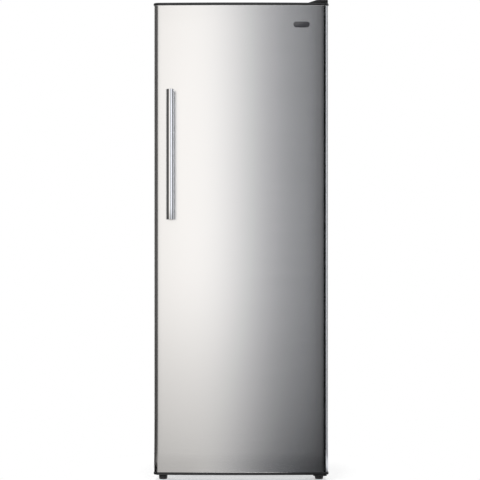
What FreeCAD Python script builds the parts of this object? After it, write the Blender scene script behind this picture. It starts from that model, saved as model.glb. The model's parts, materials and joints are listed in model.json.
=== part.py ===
import FreeCAD, Part
import Sketcher
import math
import os
import re

# An upright freezer with a bowed steel door, hinged on the right. The origin is the centre of the
# footprint on the floor. +X is right seen from the front, +Y points to the back, +Z is up.

doc = FreeCAD.newDocument("UprightFreezer")

# Driving sizes, in millimetres unless the name says otherwise.
DRIVING = {
    "cabinet_width": 595,
    "cabinet_depth": 545,
    "cabinet_height": 1616,
    "cabinet_bottom": 25,
    "skin_gauge": 0.8,
    "deck_gauge": 1.2,
    "flange_gauge": 1,
    "liner_gauge": 2,
    "side_wall": 55,
    "top_wall": 55,
    "back_wall": 55,
    "floor_wall": 60,
    "bay_depth": 210,
    "bay_height": 240,
    "step_wall": 45,
    "door_gap": 10,
    "door_edge_depth": 55,
    "door_bow": 9,
    "door_edge_radius": 17,
    "door_end_gap": 1,
    "door_skin_gauge": 1,
    "cap_height": 8,
    "cap_lip": 2.5,
    "gasket_inset": 22,
    "gasket_width": 14,
    "seat_gap": 0.3,
    "fit_gap": 0.05,
    "hinge_inset": 25,
    "hinge_forward": 46,
    "hinge_pin_radius": 4,
    "hinge_pin_reach": 12,
    "hinge_plate": 3.5,
    "bushing_wall": 3,
    "cover_height": 10.5,
    "cover_wall": 1.5,
    "handle_inset": 56,
    "handle_radius": 13,
    "handle_length": 443,
    "handle_top_inset": 298.5,
    "handle_reach": 32,
    "post_radius": 8,
    "post_inset": 27,
    "screw_radius": 2.5,
    "plug_radius": 3,
    "badge_width": 56,
    "badge_height": 20,
    "badge_thickness": 2,
    "badge_inset": 91,
    "badge_drop": 75,
    "dyke_clearance": 8,
    "dyke_depth": 40,
    "dyke_width": 34,
    "pan_depth": 8,
    "bins_over_drawer": 27,
    "bin_depth": 99,
    "bin_height": 90,
    "bin_wall": 2.5,
    "bin_radius": 10,
    "bin_clearance": 6,
    "drawer_front_gap": 40,
    "drawer_half_width": 205,
    "drawer_rim": 9,
    "drawer_rim_height": 4,
    "drawer_wall": 3,
    "drawer_radius": 16,
    "lower_drawer_height": 190,
    "upper_drawer_height": 185,
    "runner_height": 12,
    "shelf_front_gap": 112,
    "shelf_back_gap": 28,
    "shelf_side_gap": 8,
    "shelf_over_bins": 15,
    "evaporator_radius": 4,
    "wire_radius": 1.5,
    "housing_width": 190,
    "housing_depth": 90,
    "housing_height": 38,
    "housing_wall": 2,
    "knob_radius": 16,
    "knob_length": 15,
    "shaft_radius": 3,
    "foot_radius": 15,
    "foot_inset": 27,
    "foot_setback": 32,
    "foot_stem_radius": 5,
    "roller_radius": 10,
    "roller_width": 14,
    "roller_inset": 60,
    "axle_radius": 2.5,
    "compressor_radius": 68,
    "compressor_height": 150,
    "grommet_height": 12,
    "coil_gap": 14,
    "coil_radius": 2.4,
    "coil_wire_radius": 0.9,
    "coil_margin": 48,
    "coil_top_margin": 140,
    "line_radius": 3.2,
    "capillary_radius": 1,
    "drain_radius": 8,
}

# Repeated pieces.
SHELVES = 4
BINS = 4
PASSES = 8
WIRES = 15
COIL_PASSES = 15
COIL_WIRES = 23

# Worked-out places, each from the sizes above it.
WORKED = {
    "half_width": "cabinet_width / 2",
    "front_reach": "door_gap + door_edge_depth + handle_reach + 2 * handle_radius + handle_drop",
    "back_reach": "coil_gap + coil_radius + 2 * coil_wire_radius",
    "handle_x": "half_width - handle_inset",
    "corner_x": "half_width - door_edge_radius",
    "bow_reach": "(corner_x * corner_x + door_bow * door_bow) / (2 * door_bow)",
    "bow_radius": "bow_reach + door_edge_radius",
    "handle_drop": "sqrt(bow_radius * bow_radius - handle_x * handle_x) - bow_radius + door_bow",
    "front_y": "front_reach - (front_reach + cabinet_depth + back_reach) / 2",
    "back_y": "front_y + cabinet_depth",
    "cabinet_top": "cabinet_bottom + cabinet_height",
    "cavity_half": "half_width - side_wall",
    "cavity_floor": "cabinet_bottom + floor_wall",
    "cavity_top": "cabinet_top - top_wall",
    "cavity_back": "back_y - back_wall",
    "bay_front": "back_y - bay_depth",
    "bay_top": "cabinet_bottom + bay_height",
    "step_front": "bay_front - step_wall",
    "step_top": "bay_top + step_wall",
    "door_back": "front_y - door_gap",
    "door_edge_y": "door_back - door_edge_depth",
    "corner_y": "door_edge_y + door_edge_radius",
    "bow_y": "door_edge_y - door_bow + bow_radius",
    "door_bottom": "cabinet_bottom + door_end_gap",
    "door_top": "cabinet_top - door_end_gap",
    "skin_bottom": "door_bottom + cap_height",
    "skin_top": "door_top - cap_height",
    "pin_x": "half_width - hinge_inset",
    "pin_y": "front_y - hinge_forward",
    "bushing_radius": "hinge_pin_radius + fit_gap + bushing_wall",
    "handle_y": "door_edge_y - handle_drop - handle_reach - handle_radius",
    "handle_top": "door_top - handle_top_inset",
    "handle_bottom": "handle_top - handle_length",
    "handle_face_y": "door_edge_y - handle_drop",
    "badge_x": "half_width - badge_inset",
    "badge_z": "door_top - badge_drop",
    "dyke_half": "cavity_half - dyke_clearance",
    "recess_half": "dyke_half - dyke_width",
    "dyke_top": "cavity_top - dyke_clearance",
    "drawer_front": "front_y + drawer_front_gap",
    "lower_drawer_z": "cavity_floor + 12",
    "upper_drawer_z": "step_top + 14",
    "lower_drawer_back": "step_front - 10",
    "upper_drawer_back": "cavity_back - 16",
    "bins_bottom": "upper_drawer_z + upper_drawer_height + bins_over_drawer",
    "shelf_bottom": "bins_bottom + shelf_over_bins",
    "shelf_step": "(cavity_top - shelf_bottom) / %d" % SHELVES,
    "shelf_front": "front_y + shelf_front_gap",
    "shelf_back": "cavity_back - shelf_back_gap",
    "shelf_half": "cavity_half - shelf_side_gap",
    "housing_front": "front_y + shelf_front_gap",
    "foot_x": "half_width - foot_inset",
    "foot_y": "front_y + foot_setback",
    "roller_x": "half_width - roller_inset",
    "roller_y": "back_y - roller_inset",
    "tray_top": "cabinet_bottom + 2",
    "compressor_x": "110",
    "compressor_y": "back_y - bay_depth / 2",
    "riser_x": "shelf_half - evaporator_radius",
    "riser_y": "shelf_back + evaporator_radius + seat_gap",
    "coil_y": "back_y + coil_gap",
    "coil_half": "half_width - coil_margin",
    "coil_bottom": "bay_top + coil_margin",
    "coil_pitch": "(cabinet_top - coil_top_margin - coil_bottom) / %d" % (COIL_PASSES - 1),
}

sheet = doc.addObject("Spreadsheet::Sheet", "Dimensions")
for row, (name, size) in enumerate(DRIVING.items(), start=1):
    sheet.set("A%d" % row, name)
    sheet.set("B%d" % row, str(size))
    sheet.setAlias("B%d" % row, name)
doc.recompute()

layout = doc.addObject("App::VarSet", "Layout")
for name in WORKED:
    layout.addProperty("App::PropertyFloat", name)
layout.addProperty("App::PropertyFloat", "reading")
WORD = re.compile(r"[a-z_]+[a-z_0-9]*")


def formula(text):
    """Write each size's word in the text as a reference to the cell or place that holds it."""
    def reference(match):
        word = match.group(0)
        if word in DRIVING:
            return "Dimensions." + word
        if word in WORKED:
            return "Layout." + word
        return word
    return WORD.sub(reference, str(text))


for name, text in WORKED.items():
    layout.setExpression(name, formula(text))
doc.recompute()


def number(text):
    """Read what a formula comes to, for a shape that is drawn point by point."""
    layout.setExpression("reading", formula(text))
    layout.recompute()
    return layout.reading


TURNS = {
    "X": FreeCAD.Rotation(FreeCAD.Vector(0, 1, 0), 90),
    "Y": FreeCAD.Rotation(FreeCAD.Vector(1, 0, 0), -90),
    "-Y": FreeCAD.Rotation(FreeCAD.Vector(1, 0, 0), 90),
    "Z": FreeCAD.Rotation(),
}
NODES = []


def bind(piece, size, text):
    piece.setExpression(size, formula(text))


def put(piece, x, y, z, axis="Z"):
    piece.Placement = FreeCAD.Placement(FreeCAD.Vector(), TURNS[axis])
    bind(piece, "Placement.Base.x", x)
    bind(piece, "Placement.Base.y", y)
    bind(piece, "Placement.Base.z", z)
    return piece


def node(label, piece):
    piece.Label = label
    NODES.append(piece)
    return piece


def box(x0, x1, y0, y1, z0, z1):
    """A block between two corners."""
    piece = doc.addObject("Part::Box", "Block")
    bind(piece, "Length", "(%s) - (%s)" % (x1, x0))
    bind(piece, "Width", "(%s) - (%s)" % (y1, y0))
    bind(piece, "Height", "(%s) - (%s)" % (z1, z0))
    return put(piece, x0, y0, z0)


def rod(x, y, z, axis, length, radius):
    piece = doc.addObject("Part::Cylinder", "Rod")
    bind(piece, "Radius", radius)
    bind(piece, "Height", length)
    return put(piece, x, y, z, axis)


def join(*pieces):
    piece = doc.addObject("Part::MultiFuse", "Joined")
    piece.Shapes = list(pieces)
    return piece


def cut(base, *tools):
    piece = doc.addObject("Part::Cut", "Cut")
    piece.Base = base
    piece.Tool = tools[0] if len(tools) == 1 else join(*tools)
    return piece


def group(*pieces):
    """Identical pieces that stay separate solids in one node."""
    piece = doc.addObject("Part::Compound", "Group")
    piece.Links = list(pieces)
    return piece


def both_sides(make):
    """Make a piece at the right and its like at the left."""
    return [make(1), make(-1)]


def add_edge(sketch, start, end, centre):
    """Draw a line, or an arc about a centre, and say which of its ends each point is."""
    first = FreeCAD.Vector(number(start[0]), number(start[1]), 0)
    last = FreeCAD.Vector(number(end[0]), number(end[1]), 0)
    if centre is None:
        return sketch.addGeometry(Part.LineSegment(first, last), False), 1, 2
    middle = FreeCAD.Vector(number(centre[0]), number(centre[1]), 0)
    reach = first - middle
    onward = last - middle
    start_angle = math.atan2(reach.y, reach.x)
    end_angle = math.atan2(onward.y, onward.x)
    circle = Part.Circle(middle, FreeCAD.Vector(0, 0, 1), reach.Length)
    anticlockwise = centre[2] > 0
    low, high = (start_angle, end_angle) if anticlockwise else (end_angle, start_angle)
    if high < low:
        high += 2 * math.pi
    edge = sketch.addGeometry(Part.ArcOfCircle(circle, low, high), False)
    chord = last - first
    side, coordinate = ("DistanceY", centre[1]) if abs(chord.x) >= abs(chord.y) else ("DistanceX", centre[0])
    name = "centre%d" % edge
    rule = sketch.addConstraint(Sketcher.Constraint(side, -1, 1, edge, 3, number(coordinate)))
    sketch.renameConstraint(rule, name)
    bind(sketch, "Constraints." + name, coordinate)
    return (edge, 1, 2) if anticlockwise else (edge, 2, 1)


def draw(sketch, outline):
    """Draw a closed outline. Each point is (x, y, centre of the arc that leads to it, or None)."""
    edges = []
    for index, point in enumerate(outline):
        edges.append(add_edge(sketch, outline[index - 1], point, point[2]))
    for index, (edge, _, end) in enumerate(edges):
        following, start, _ = edges[(index + 1) % len(edges)]
        sketch.addConstraint(Sketcher.Constraint("Coincident", edge, end, following, start))
        for side, coordinate in (("DistanceX", outline[index][0]), ("DistanceY", outline[index][1])):
            name = "%s%d" % (side, index)
            rule = sketch.addConstraint(Sketcher.Constraint(side, -1, 1, edge, end, number(coordinate)))
            sketch.renameConstraint(rule, name)
            bind(sketch, "Constraints." + name, coordinate)


def sketched_body(plane, outline, start="0"):
    body = doc.addObject("PartDesign::Body", "Body")
    sketch = body.newObject("Sketcher::SketchObject", "Outline")
    base = [feature for feature in body.Origin.OriginFeatures if feature.Role == plane][0]
    sketch.AttachmentSupport = [(base, "")]
    sketch.MapMode = "FlatFace"
    away = "-(%s)" % start if plane == "XZ_Plane" else start
    bind(sketch, "AttachmentOffset.Base.z", away)
    draw(sketch, outline)
    return body, sketch


def slab(plane, outline, start, end):
    """A body of one section, between two places along the axis that the plane faces."""
    body, sketch = sketched_body(plane, outline, start)
    pad = body.newObject("PartDesign::Pad", "Pad")
    pad.Profile = sketch
    pad.Reversed = plane == "XZ_Plane"
    bind(pad, "Length", "(%s) - (%s)" % (end, start))
    return body


def turned(outline, x, y, z, axis="Z"):
    """A round body, from its section of radius and height."""
    body, sketch = sketched_body("XZ_Plane", outline)
    lathe = body.newObject("PartDesign::Revolution", "Turned")
    lathe.Profile = sketch
    lathe.ReferenceAxis = (sketch, ["V_Axis"])
    lathe.Angle = 360
    return put(body, x, y, z, axis)


def corners(*points):
    return [(x, y, None) for x, y in points]


def rounded(x0, x1, y0, y1, radius):
    """A rectangle with round corners, anticlockwise."""
    def arc(x, y):
        return ("(%s)" % x, "(%s)" % y, 1)
    left, right = "(%s) + (%s)" % (x0, radius), "(%s) - (%s)" % (x1, radius)
    low, high = "(%s) + (%s)" % (y0, radius), "(%s) - (%s)" % (y1, radius)
    return [
        (right, y0, None), (x1, low, arc(right, low)),
        (x1, high, None), (right, y1, arc(right, high)),
        (left, y1, None), (x0, high, arc(left, high)),
        (x0, low, None), (left, y0, arc(left, low)),
    ]


def tube(points, radius, bend):
    """A bent tube: straight runs joined by tangent arcs of one bend radius."""
    places = [FreeCAD.Vector(*[number(value) for value in point]) for point in points]
    turn = number(bend)
    edges = []
    here = places[0]
    for before, corner, after in zip(places, places[1:], places[2:]):
        inward = (before - corner).normalize()
        outward = (after - corner).normalize()
        half = inward.getAngle(outward) / 2
        reach = turn / math.tan(half)
        middle = corner + (inward + outward).normalize() * (turn / math.sin(half) - turn)
        arc_start = corner + inward * reach
        arc_end = corner + outward * reach
        if (arc_start - here).Length > 1e-6:
            edges.append(Part.LineSegment(here, arc_start).toShape())
        edges.append(Part.Arc(arc_start, middle, arc_end).toShape())
        here = arc_end
    edges.append(Part.LineSegment(here, places[-1]).toShape())
    path = Part.Wire(edges)
    section = Part.Wire(Part.makeCircle(number(radius), places[0], places[1] - places[0]))
    return path.makePipeShell([section], True, True)


def drawn(shape):
    """An object for a shape that is drawn point by point."""
    piece = doc.addObject("Part::Feature", "Drawn")
    piece.Shape = shape
    return piece


# Cabinet: painted wrapper over the sides and top, a flat back, a folded base and a front flange.
node("cabinet_wrapper", slab("XZ_Plane", corners(
    ("half_width", "cabinet_bottom"), ("half_width", "cabinet_top"),
    ("-half_width", "cabinet_top"), ("-half_width", "cabinet_bottom"),
    ("-half_width + skin_gauge", "cabinet_bottom"),
    ("-half_width + skin_gauge", "cabinet_top - skin_gauge"),
    ("half_width - skin_gauge", "cabinet_top - skin_gauge"),
    ("half_width - skin_gauge", "cabinet_bottom"),
), "front_y + flange_gauge", "back_y"))

INNER_LEFT = "-half_width + skin_gauge"
INNER_RIGHT = "half_width - skin_gauge"

node("back_panel", box(
    INNER_LEFT, INNER_RIGHT, "back_y - skin_gauge", "back_y",
    "bay_top + deck_gauge", "cabinet_top - skin_gauge"))

node("front_flange", cut(
    box("-half_width", "half_width", "front_y", "front_y + flange_gauge", "cabinet_bottom", "cabinet_top"),
    box("-cavity_half - liner_gauge", "cavity_half + liner_gauge", "front_y - 1", "front_y + 2 * flange_gauge",
        "cavity_floor - liner_gauge", "cavity_top + liner_gauge")))


def stem_hole(side, bottom, top, radius):
    """The hole that a front foot's stem passes through."""
    return rod("%d * foot_x" % side, "foot_y", bottom, "Z", "(%s) - (%s)" % (top, bottom), radius)


RISER_LEFT = "-riser_x"
riser_hole = rod(RISER_LEFT, "riser_y", "bay_top - 5", "Z", "step_top - bay_top + 10",
                 "evaporator_radius + fit_gap")
drain_hole = rod("0", "step_front - 60", "cabinet_bottom - 5", "Z", "floor_wall + 10", "drain_radius + fit_gap")

deck = slab("YZ_Plane", corners(
    ("front_y + flange_gauge", "cabinet_bottom"), ("bay_front", "cabinet_bottom"),
    ("bay_front", "bay_top"), ("back_y", "bay_top"), ("back_y", "bay_top + deck_gauge"),
    ("bay_front - deck_gauge", "bay_top + deck_gauge"),
    ("bay_front - deck_gauge", "cabinet_bottom + deck_gauge"),
    ("front_y + flange_gauge", "cabinet_bottom + deck_gauge"),
), INNER_LEFT, INNER_RIGHT)
node("base_deck", cut(deck, riser_hole, drain_hole, *both_sides(
    lambda side: stem_hole(side, "cabinet_bottom - 5", "cabinet_bottom + 5", "foot_stem_radius + fit_gap"))))

# The liner is a deep tray on its side, stepped over the machine bay and open at the front.
liner_block = slab("YZ_Plane", corners(
    ("front_y", "cavity_floor - liner_gauge"), ("step_front + liner_gauge", "cavity_floor - liner_gauge"),
    ("step_front + liner_gauge", "step_top - liner_gauge"),
    ("cavity_back + liner_gauge", "step_top - liner_gauge"),
    ("cavity_back + liner_gauge", "cavity_top + liner_gauge"), ("front_y", "cavity_top + liner_gauge"),
), "-cavity_half - liner_gauge", "cavity_half + liner_gauge")
liner_hollow = slab("YZ_Plane", corners(
    ("front_y - 1", "cavity_floor"), ("step_front", "cavity_floor"), ("step_front", "step_top"),
    ("cavity_back", "step_top"), ("cavity_back", "cavity_top"), ("front_y - 1", "cavity_top"),
), "-cavity_half", "cavity_half")
node("inner_liner", cut(liner_block, liner_hollow, riser_hole, drain_hole))

foam_block = slab("YZ_Plane", corners(
    ("front_y + flange_gauge", "cabinet_bottom + deck_gauge"),
    ("bay_front - deck_gauge", "cabinet_bottom + deck_gauge"),
    ("bay_front - deck_gauge", "bay_top + deck_gauge"), ("back_y - skin_gauge", "bay_top + deck_gauge"),
    ("back_y - skin_gauge", "cabinet_top - skin_gauge"),
    ("front_y + flange_gauge", "cabinet_top - skin_gauge"),
), INNER_LEFT, INNER_RIGHT)
node("insulation_foam", cut(foam_block, liner_block, riser_hole, drain_hole, *both_sides(
    lambda side: stem_hole(side, "cabinet_bottom", "cabinet_bottom + 26", "foot_stem_radius + 1"))))

# Ledges on the liner's side walls carry the drawers by their rims.
RUNNER_INSIDE = "drawer_half_width + 2"


def runner(side, top, back):
    edges = (RUNNER_INSIDE, "cavity_half") if side > 0 else ("-cavity_half", "-(%s)" % RUNNER_INSIDE)
    return box(*edges, "drawer_front + 6", back, "(%s) - runner_height" % top, top)


LOWER_RIM = "lower_drawer_z + lower_drawer_height - drawer_rim_height"
UPPER_RIM = "upper_drawer_z + upper_drawer_height - drawer_rim_height"
node("drawer_runners", group(
    *both_sides(lambda side: runner(side, LOWER_RIM + " - seat_gap", "lower_drawer_back")),
    *both_sides(lambda side: runner(side, UPPER_RIM + " - seat_gap", "shelf_back - 6"))))


def drawer(label, bottom, height, back):
    """A moulded tub with a rim that runs on the ledges and a hand hole in its front."""
    top = "%s + %s" % (bottom, height)
    tub = slab("XY_Plane", rounded(
        "-drawer_half_width", "drawer_half_width", "drawer_front", back, "drawer_radius"), bottom, top)
    rim = box("-drawer_half_width - drawer_rim", "drawer_half_width + drawer_rim",
              "drawer_front + 20", "(%s) - 4" % back, top + " - drawer_rim_height", top)
    hollow = slab("XY_Plane", rounded(
        "-drawer_half_width + drawer_wall", "drawer_half_width - drawer_wall",
        "drawer_front + drawer_wall", "(%s) - drawer_wall" % back, "drawer_radius - drawer_wall"),
        bottom + " + drawer_wall", top + " + 1")
    hand_hole = slab("XZ_Plane", rounded(
        "-65", "65", top + " - 52", top + " - 22", "12"), "drawer_front - 5", "drawer_front + 10")
    return node(label, cut(join(tub, rim), hollow, hand_hole))


drawer("lower_drawer", "lower_drawer_z", "lower_drawer_height", "lower_drawer_back")
drawer("upper_drawer", "upper_drawer_z", "upper_drawer_height", "upper_drawer_back")

# Cold shelves: a bent evaporator tube in each, with straight wires laid across it.
def shelf_height(index):
    return "shelf_bottom + %d * shelf_step" % index


def evaporator_shelf(index):
    middle = shelf_height(index)
    pitch = "(2 * riser_x / %d)" % (PASSES - 1)
    points = []
    for run in range(PASSES):
        across = "-riser_x + %d * %s" % (run, pitch)
        ends = ["shelf_back", "shelf_front"]
        if run % 2:
            ends.reverse()
        points += [(across, end, middle) for end in ends]
    pieces = [tube(points, "evaporator_radius", pitch + " * 0.49")]
    length = number("2 * shelf_half")
    radius = number("wire_radius")
    first = number("shelf_front") + number(pitch) * 0.75
    span = number("shelf_back") - 12 - first
    height = number(middle) + number("evaporator_radius") + radius
    for wire in range(WIRES):
        start = FreeCAD.Vector(-length / 2, first + span * wire / (WIRES - 1), height)
        pieces.append(Part.makeCylinder(radius, length, start, FreeCAD.Vector(1, 0, 0)))
    return node("evaporator_shelf_%d" % (index + 1), drawn(Part.makeCompound(pieces)))


for index in range(SHELVES):
    evaporator_shelf(index)


def clip(side, along, index):
    inner, outer = "shelf_half + seat_gap", "cavity_half"
    edges = (inner, outer) if side > 0 else ("-(%s)" % outer, "-(%s)" % inner)
    middle = shelf_height(index)
    return box(*edges, "(%s) - 12" % along, "(%s) + 12" % along, middle + " - 10", middle + " + 10")


node("shelf_clips", group(*[
    clip(side, along, index)
    for index in range(SHELVES) for side in (1, -1)
    for along in ("shelf_front + 50", "shelf_back - 40")]))


def riser(side, start, end):
    return rod("%d * riser_x" % side, "riser_y", start, "Z", "(%s) - (%s)" % (end, start),
               "evaporator_radius")


RISER_TOP = shelf_height(SHELVES - 1)
node("evaporator_risers", group(
    riser(-1, "bay_top - 12", shelf_height(0) + " + 6"),
    riser(1, shelf_height(0) + " - 6", shelf_height(1) + " + 6"),
    riser(-1, shelf_height(1) + " - 6", shelf_height(2) + " + 6"),
    riser(1, shelf_height(2) + " - 6", RISER_TOP + " + 6")))

# Thermostat and lamp share a housing on the liner's ceiling.
KNOB_X, LAMP_X = "-housing_width / 4", "housing_width / 5"
HOUSING_Z = "cavity_top - housing_height / 2"
housing = box("-housing_width / 2", "housing_width / 2", "housing_front", "housing_front + housing_depth",
              "cavity_top - housing_height", "cavity_top")
housing_hollow = box(
    "-housing_width / 2 + housing_wall", "housing_width / 2 - housing_wall",
    "housing_front + housing_wall", "housing_front + housing_depth - housing_wall",
    "cavity_top - housing_height + housing_wall", "cavity_top + 1")
shaft_hole = rod(KNOB_X, "housing_front - 2", HOUSING_Z, "Y", "10", "shaft_radius + 1")
LENS = ("(%s) - 30" % LAMP_X, "(%s) + 30" % LAMP_X, "housing_front + 20", "housing_front + 70")
lens_window = box(*LENS, "cavity_top - housing_height - 1", "cavity_top - housing_height + 5")
node("control_housing", cut(housing, housing_hollow, shaft_hole, lens_window))
node("lamp_lens", slab("XY_Plane", rounded(*LENS, "2"),
                       "cavity_top - housing_height - 1", "cavity_top - housing_height + housing_wall"))
node("thermostat_body", join(
    box("(%s) - 16" % KNOB_X, "(%s) + 16" % KNOB_X, "housing_front + housing_wall",
        "housing_front + 36", HOUSING_Z + " - 13", "cavity_top"),
    rod(KNOB_X, "housing_front - 10", HOUSING_Z, "Y", "10 + housing_wall", "shaft_radius")))
node("lamp", join(
    box("(%s) - 12" % LAMP_X, "(%s) + 12" % LAMP_X, "housing_front + 33", "housing_front + 57",
        "cavity_top - 10", "cavity_top"),
    turned([("0", "0", None), ("9", "9", ("0", "9", 1)), ("9", "14", None), ("6", "20", None),
            ("0", "20", None)],
           LAMP_X, "housing_front + 45", "cavity_top - 30")))

knob = turned(corners(("0", "0"), ("knob_radius", "0"), ("knob_radius", "3"), ("knob_radius - 4", "5"),
                      ("knob_radius - 5", "knob_length"), ("0", "knob_length")),
              KNOB_X, "housing_front - 0.5", HOUSING_Z, "-Y")
knob_bore = rod(KNOB_X, "housing_front + 1", HOUSING_Z, "-Y", "12", "shaft_radius + fit_gap")
knob_mark = box("(%s) - 1" % KNOB_X, "(%s) + 1" % KNOB_X, "housing_front - 1 - knob_length",
                "housing_front + 0.5 - knob_length", HOUSING_Z + " + 2", HOUSING_Z + " + 9")
node("thermostat_knob", cut(knob, knob_bore, knob_mark))

# Hinges: a plate with a pin above the door and one below it.
LEAF_BACK = "front_y + 62"
SCREW_PLACES = [("pin_x - 12", "front_y + 20"), ("pin_x + 6", "front_y + 44")]


def hinge_leaf(bottom, top):
    return slab("XY_Plane", rounded(
        "pin_x - 26", "half_width - 4", "pin_y - 14", LEAF_BACK, "10"), bottom, top)


def screw_holes(bottom, top):
    return [rod(x, y, bottom, "Z", "(%s) - (%s)" % (top, bottom), "screw_radius + fit_gap")
            for x, y in SCREW_PLACES]


LEAF_TOP = "cabinet_top + hinge_plate"
node("top_hinge_bracket", join(
    cut(hinge_leaf("cabinet_top", LEAF_TOP), *screw_holes("cabinet_top - 1", LEAF_TOP + " + 1")),
    rod("pin_x", "pin_y", "door_top - hinge_pin_reach", "Z", "hinge_pin_reach + door_end_gap + 1",
        "hinge_pin_radius")))
LEAF_BOTTOM = "cabinet_bottom - hinge_plate"
node("bottom_hinge_bracket", join(
    cut(hinge_leaf(LEAF_BOTTOM, "cabinet_bottom"),
        stem_hole(1, LEAF_BOTTOM + " - 1", "cabinet_bottom + 1", "foot_stem_radius + fit_gap"),
        rod("pin_x - 20", "front_y + 48", LEAF_BOTTOM + " - 1", "Z", "hinge_plate + 2",
            "screw_radius + fit_gap")),
    rod("pin_x", "pin_y", "cabinet_bottom - 1", "Z", "hinge_pin_reach + door_end_gap + 1",
        "hinge_pin_radius")))


def screw(x, y, z, axis, length):
    """A pan-head screw: its head stands out past its place and its shank goes the other way."""
    return turned(corners(("0", "(%s) * -1" % length), ("screw_radius", "(%s) * -1" % length),
                          ("screw_radius", "0"), ("screw_radius * 2", "0"),
                          ("screw_radius * 2", "screw_radius * 0.7"), ("screw_radius * 1.4", "screw_radius"),
                          ("0", "screw_radius")), x, y, z, axis)


BRACKET_HEIGHTS = ["coil_bottom + %d * coil_pitch" % run for run in (1, COIL_PASSES - 2)]
BRACKETS = [(side, height) for side in (1, -1) for height in BRACKET_HEIGHTS]


def bracket_x(side):
    return "%d * (coil_half - 35)" % side


screws = [screw(x, y, LEAF_TOP, "Z", "hinge_plate") for x, y in SCREW_PLACES]
screws += [screw(bracket_x(side), "back_y + 2", height + " - 14", "Y", "2") for side, height in BRACKETS]
node("cabinet_screws", group(*screws))

# The cover is a thin moulded shell over the top leaf, sloped on its inner side.
COVER_TOP = "cabinet_top + cover_height"


def cover_outline(wall, low):
    inner = "pin_x - 42 + %s" % wall
    outer = "half_width - 0.5 - %s" % wall
    high = "%s - %s" % (COVER_TOP, wall)
    return corners((outer, low), (outer, high + " - 5"), (outer + " - 5", high),
                   (inner + " + 32", high), (inner, low))


node("top_hinge_cover", cut(
    slab("XZ_Plane", cover_outline("0", "cabinet_top"), "pin_y - 18", "front_y + 70"),
    slab("XZ_Plane", cover_outline("cover_wall", "cabinet_top - 1"),
         "pin_y - 18 + cover_wall", "front_y + 70 - cover_wall")))
node("reed_switch", box("pin_x - 6", "pin_x + 16", "front_y + 2", "front_y + 10",
                        LEAF_TOP, LEAF_TOP + " + 4.5"))

# Machine bay, open at the back: tray, compressor on rubber grommets, and the piping.
TAB = ("-half_width + 60", "-half_width + 100")
tray = join(
    box(INNER_LEFT, INNER_RIGHT, "bay_front", "back_y", "cabinet_bottom", "tray_top"),
    box(*TAB, "back_y - 2", "back_y", "tray_top - 1", "tray_top + 40"))
gland_hole = rod("-half_width + 80", "back_y - 4", "tray_top + 22", "Y", "8", "8")
node("compressor_tray", cut(tray, gland_hole))
node("cord_gland", turned(corners(
    ("4", "-6"), ("8", "-6"), ("8", "0"), ("11", "0"), ("11", "3"), ("7", "12"), ("4", "12")),
    "-half_width + 80", "back_y", "tray_top + 22", "Y"))

FEET = [(across, along) for across in (-72, 72) for along in (-48, 48)]
GROMMET_TOP = "tray_top + grommet_height"


def foot_place(across, along):
    return "compressor_x + %d" % across, "compressor_y + %d" % along


node("compressor_grommets", group(*[
    turned(corners(("3.5", "0"), ("10", "0"), ("10", "4"), ("8", "6"), ("10", "8"),
                   ("10", "grommet_height"), ("3.5", "grommet_height")),
           *foot_place(*place), "tray_top") for place in FEET]))
node("compressor_bolts", group(*[
    turned(corners(("0", "0"), ("3.4", "0"), ("3.4", "grommet_height + 3"), ("6", "grommet_height + 3"),
                   ("6", "grommet_height + 7"), ("0", "grommet_height + 7")),
           *foot_place(*place), "tray_top") for place in FEET]))
can = turned([
    ("0", "0", None), ("compressor_radius - 20", "0", None),
    ("compressor_radius", "20", ("compressor_radius - 20", "20", 1)),
    ("compressor_radius", "compressor_height - 45", None),
    ("compressor_radius - 45", "compressor_height", ("compressor_radius - 45", "compressor_height - 45", 1)),
    ("0", "compressor_height", None)],
    "compressor_x", "compressor_y", GROMMET_TOP + " + 3")
feet_plate = box("compressor_x - 84", "compressor_x + 84", "compressor_y - 60", "compressor_y + 60",
                 GROMMET_TOP, GROMMET_TOP + " + 3")
node("compressor", join(can, cut(feet_plate, *[
    rod(*foot_place(*place), GROMMET_TOP + " - 1", "Z", "5", "3.5") for place in FEET])))
node("relay_cover", cut(
    box("compressor_x - compressor_radius - 34", "compressor_x - compressor_radius + 12",
        "compressor_y - 22", "compressor_y + 22", "tray_top + 50", "tray_top + 112"),
    rod("compressor_x", "compressor_y", "tray_top + 40", "Z", "100", "compressor_radius + fit_gap")))

LINE_HEIGHT = "tray_top + 140"
SUCTION_X = "compressor_x - compressor_radius - 60"
node("suction_tube", drawn(tube([
    ("compressor_x - compressor_radius", "compressor_y", "tray_top + 41"),
    (SUCTION_X, "compressor_y", "tray_top + 41"), (SUCTION_X, "compressor_y", LINE_HEIGHT),
    (RISER_LEFT, "compressor_y", LINE_HEIGHT), (RISER_LEFT, "riser_y", LINE_HEIGHT),
    (RISER_LEFT, "riser_y", "bay_top - 12.3")], "line_radius", "10")))
DISCHARGE_Z = "tray_top + 62"
node("discharge_tube", drawn(tube([
    ("compressor_x + compressor_radius", "compressor_y", DISCHARGE_Z),
    ("coil_half", "compressor_y", DISCHARGE_Z), ("coil_half", "coil_y", DISCHARGE_Z),
    ("coil_half", "coil_y", "coil_bottom - 40.3")], "coil_radius", "12")))

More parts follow.
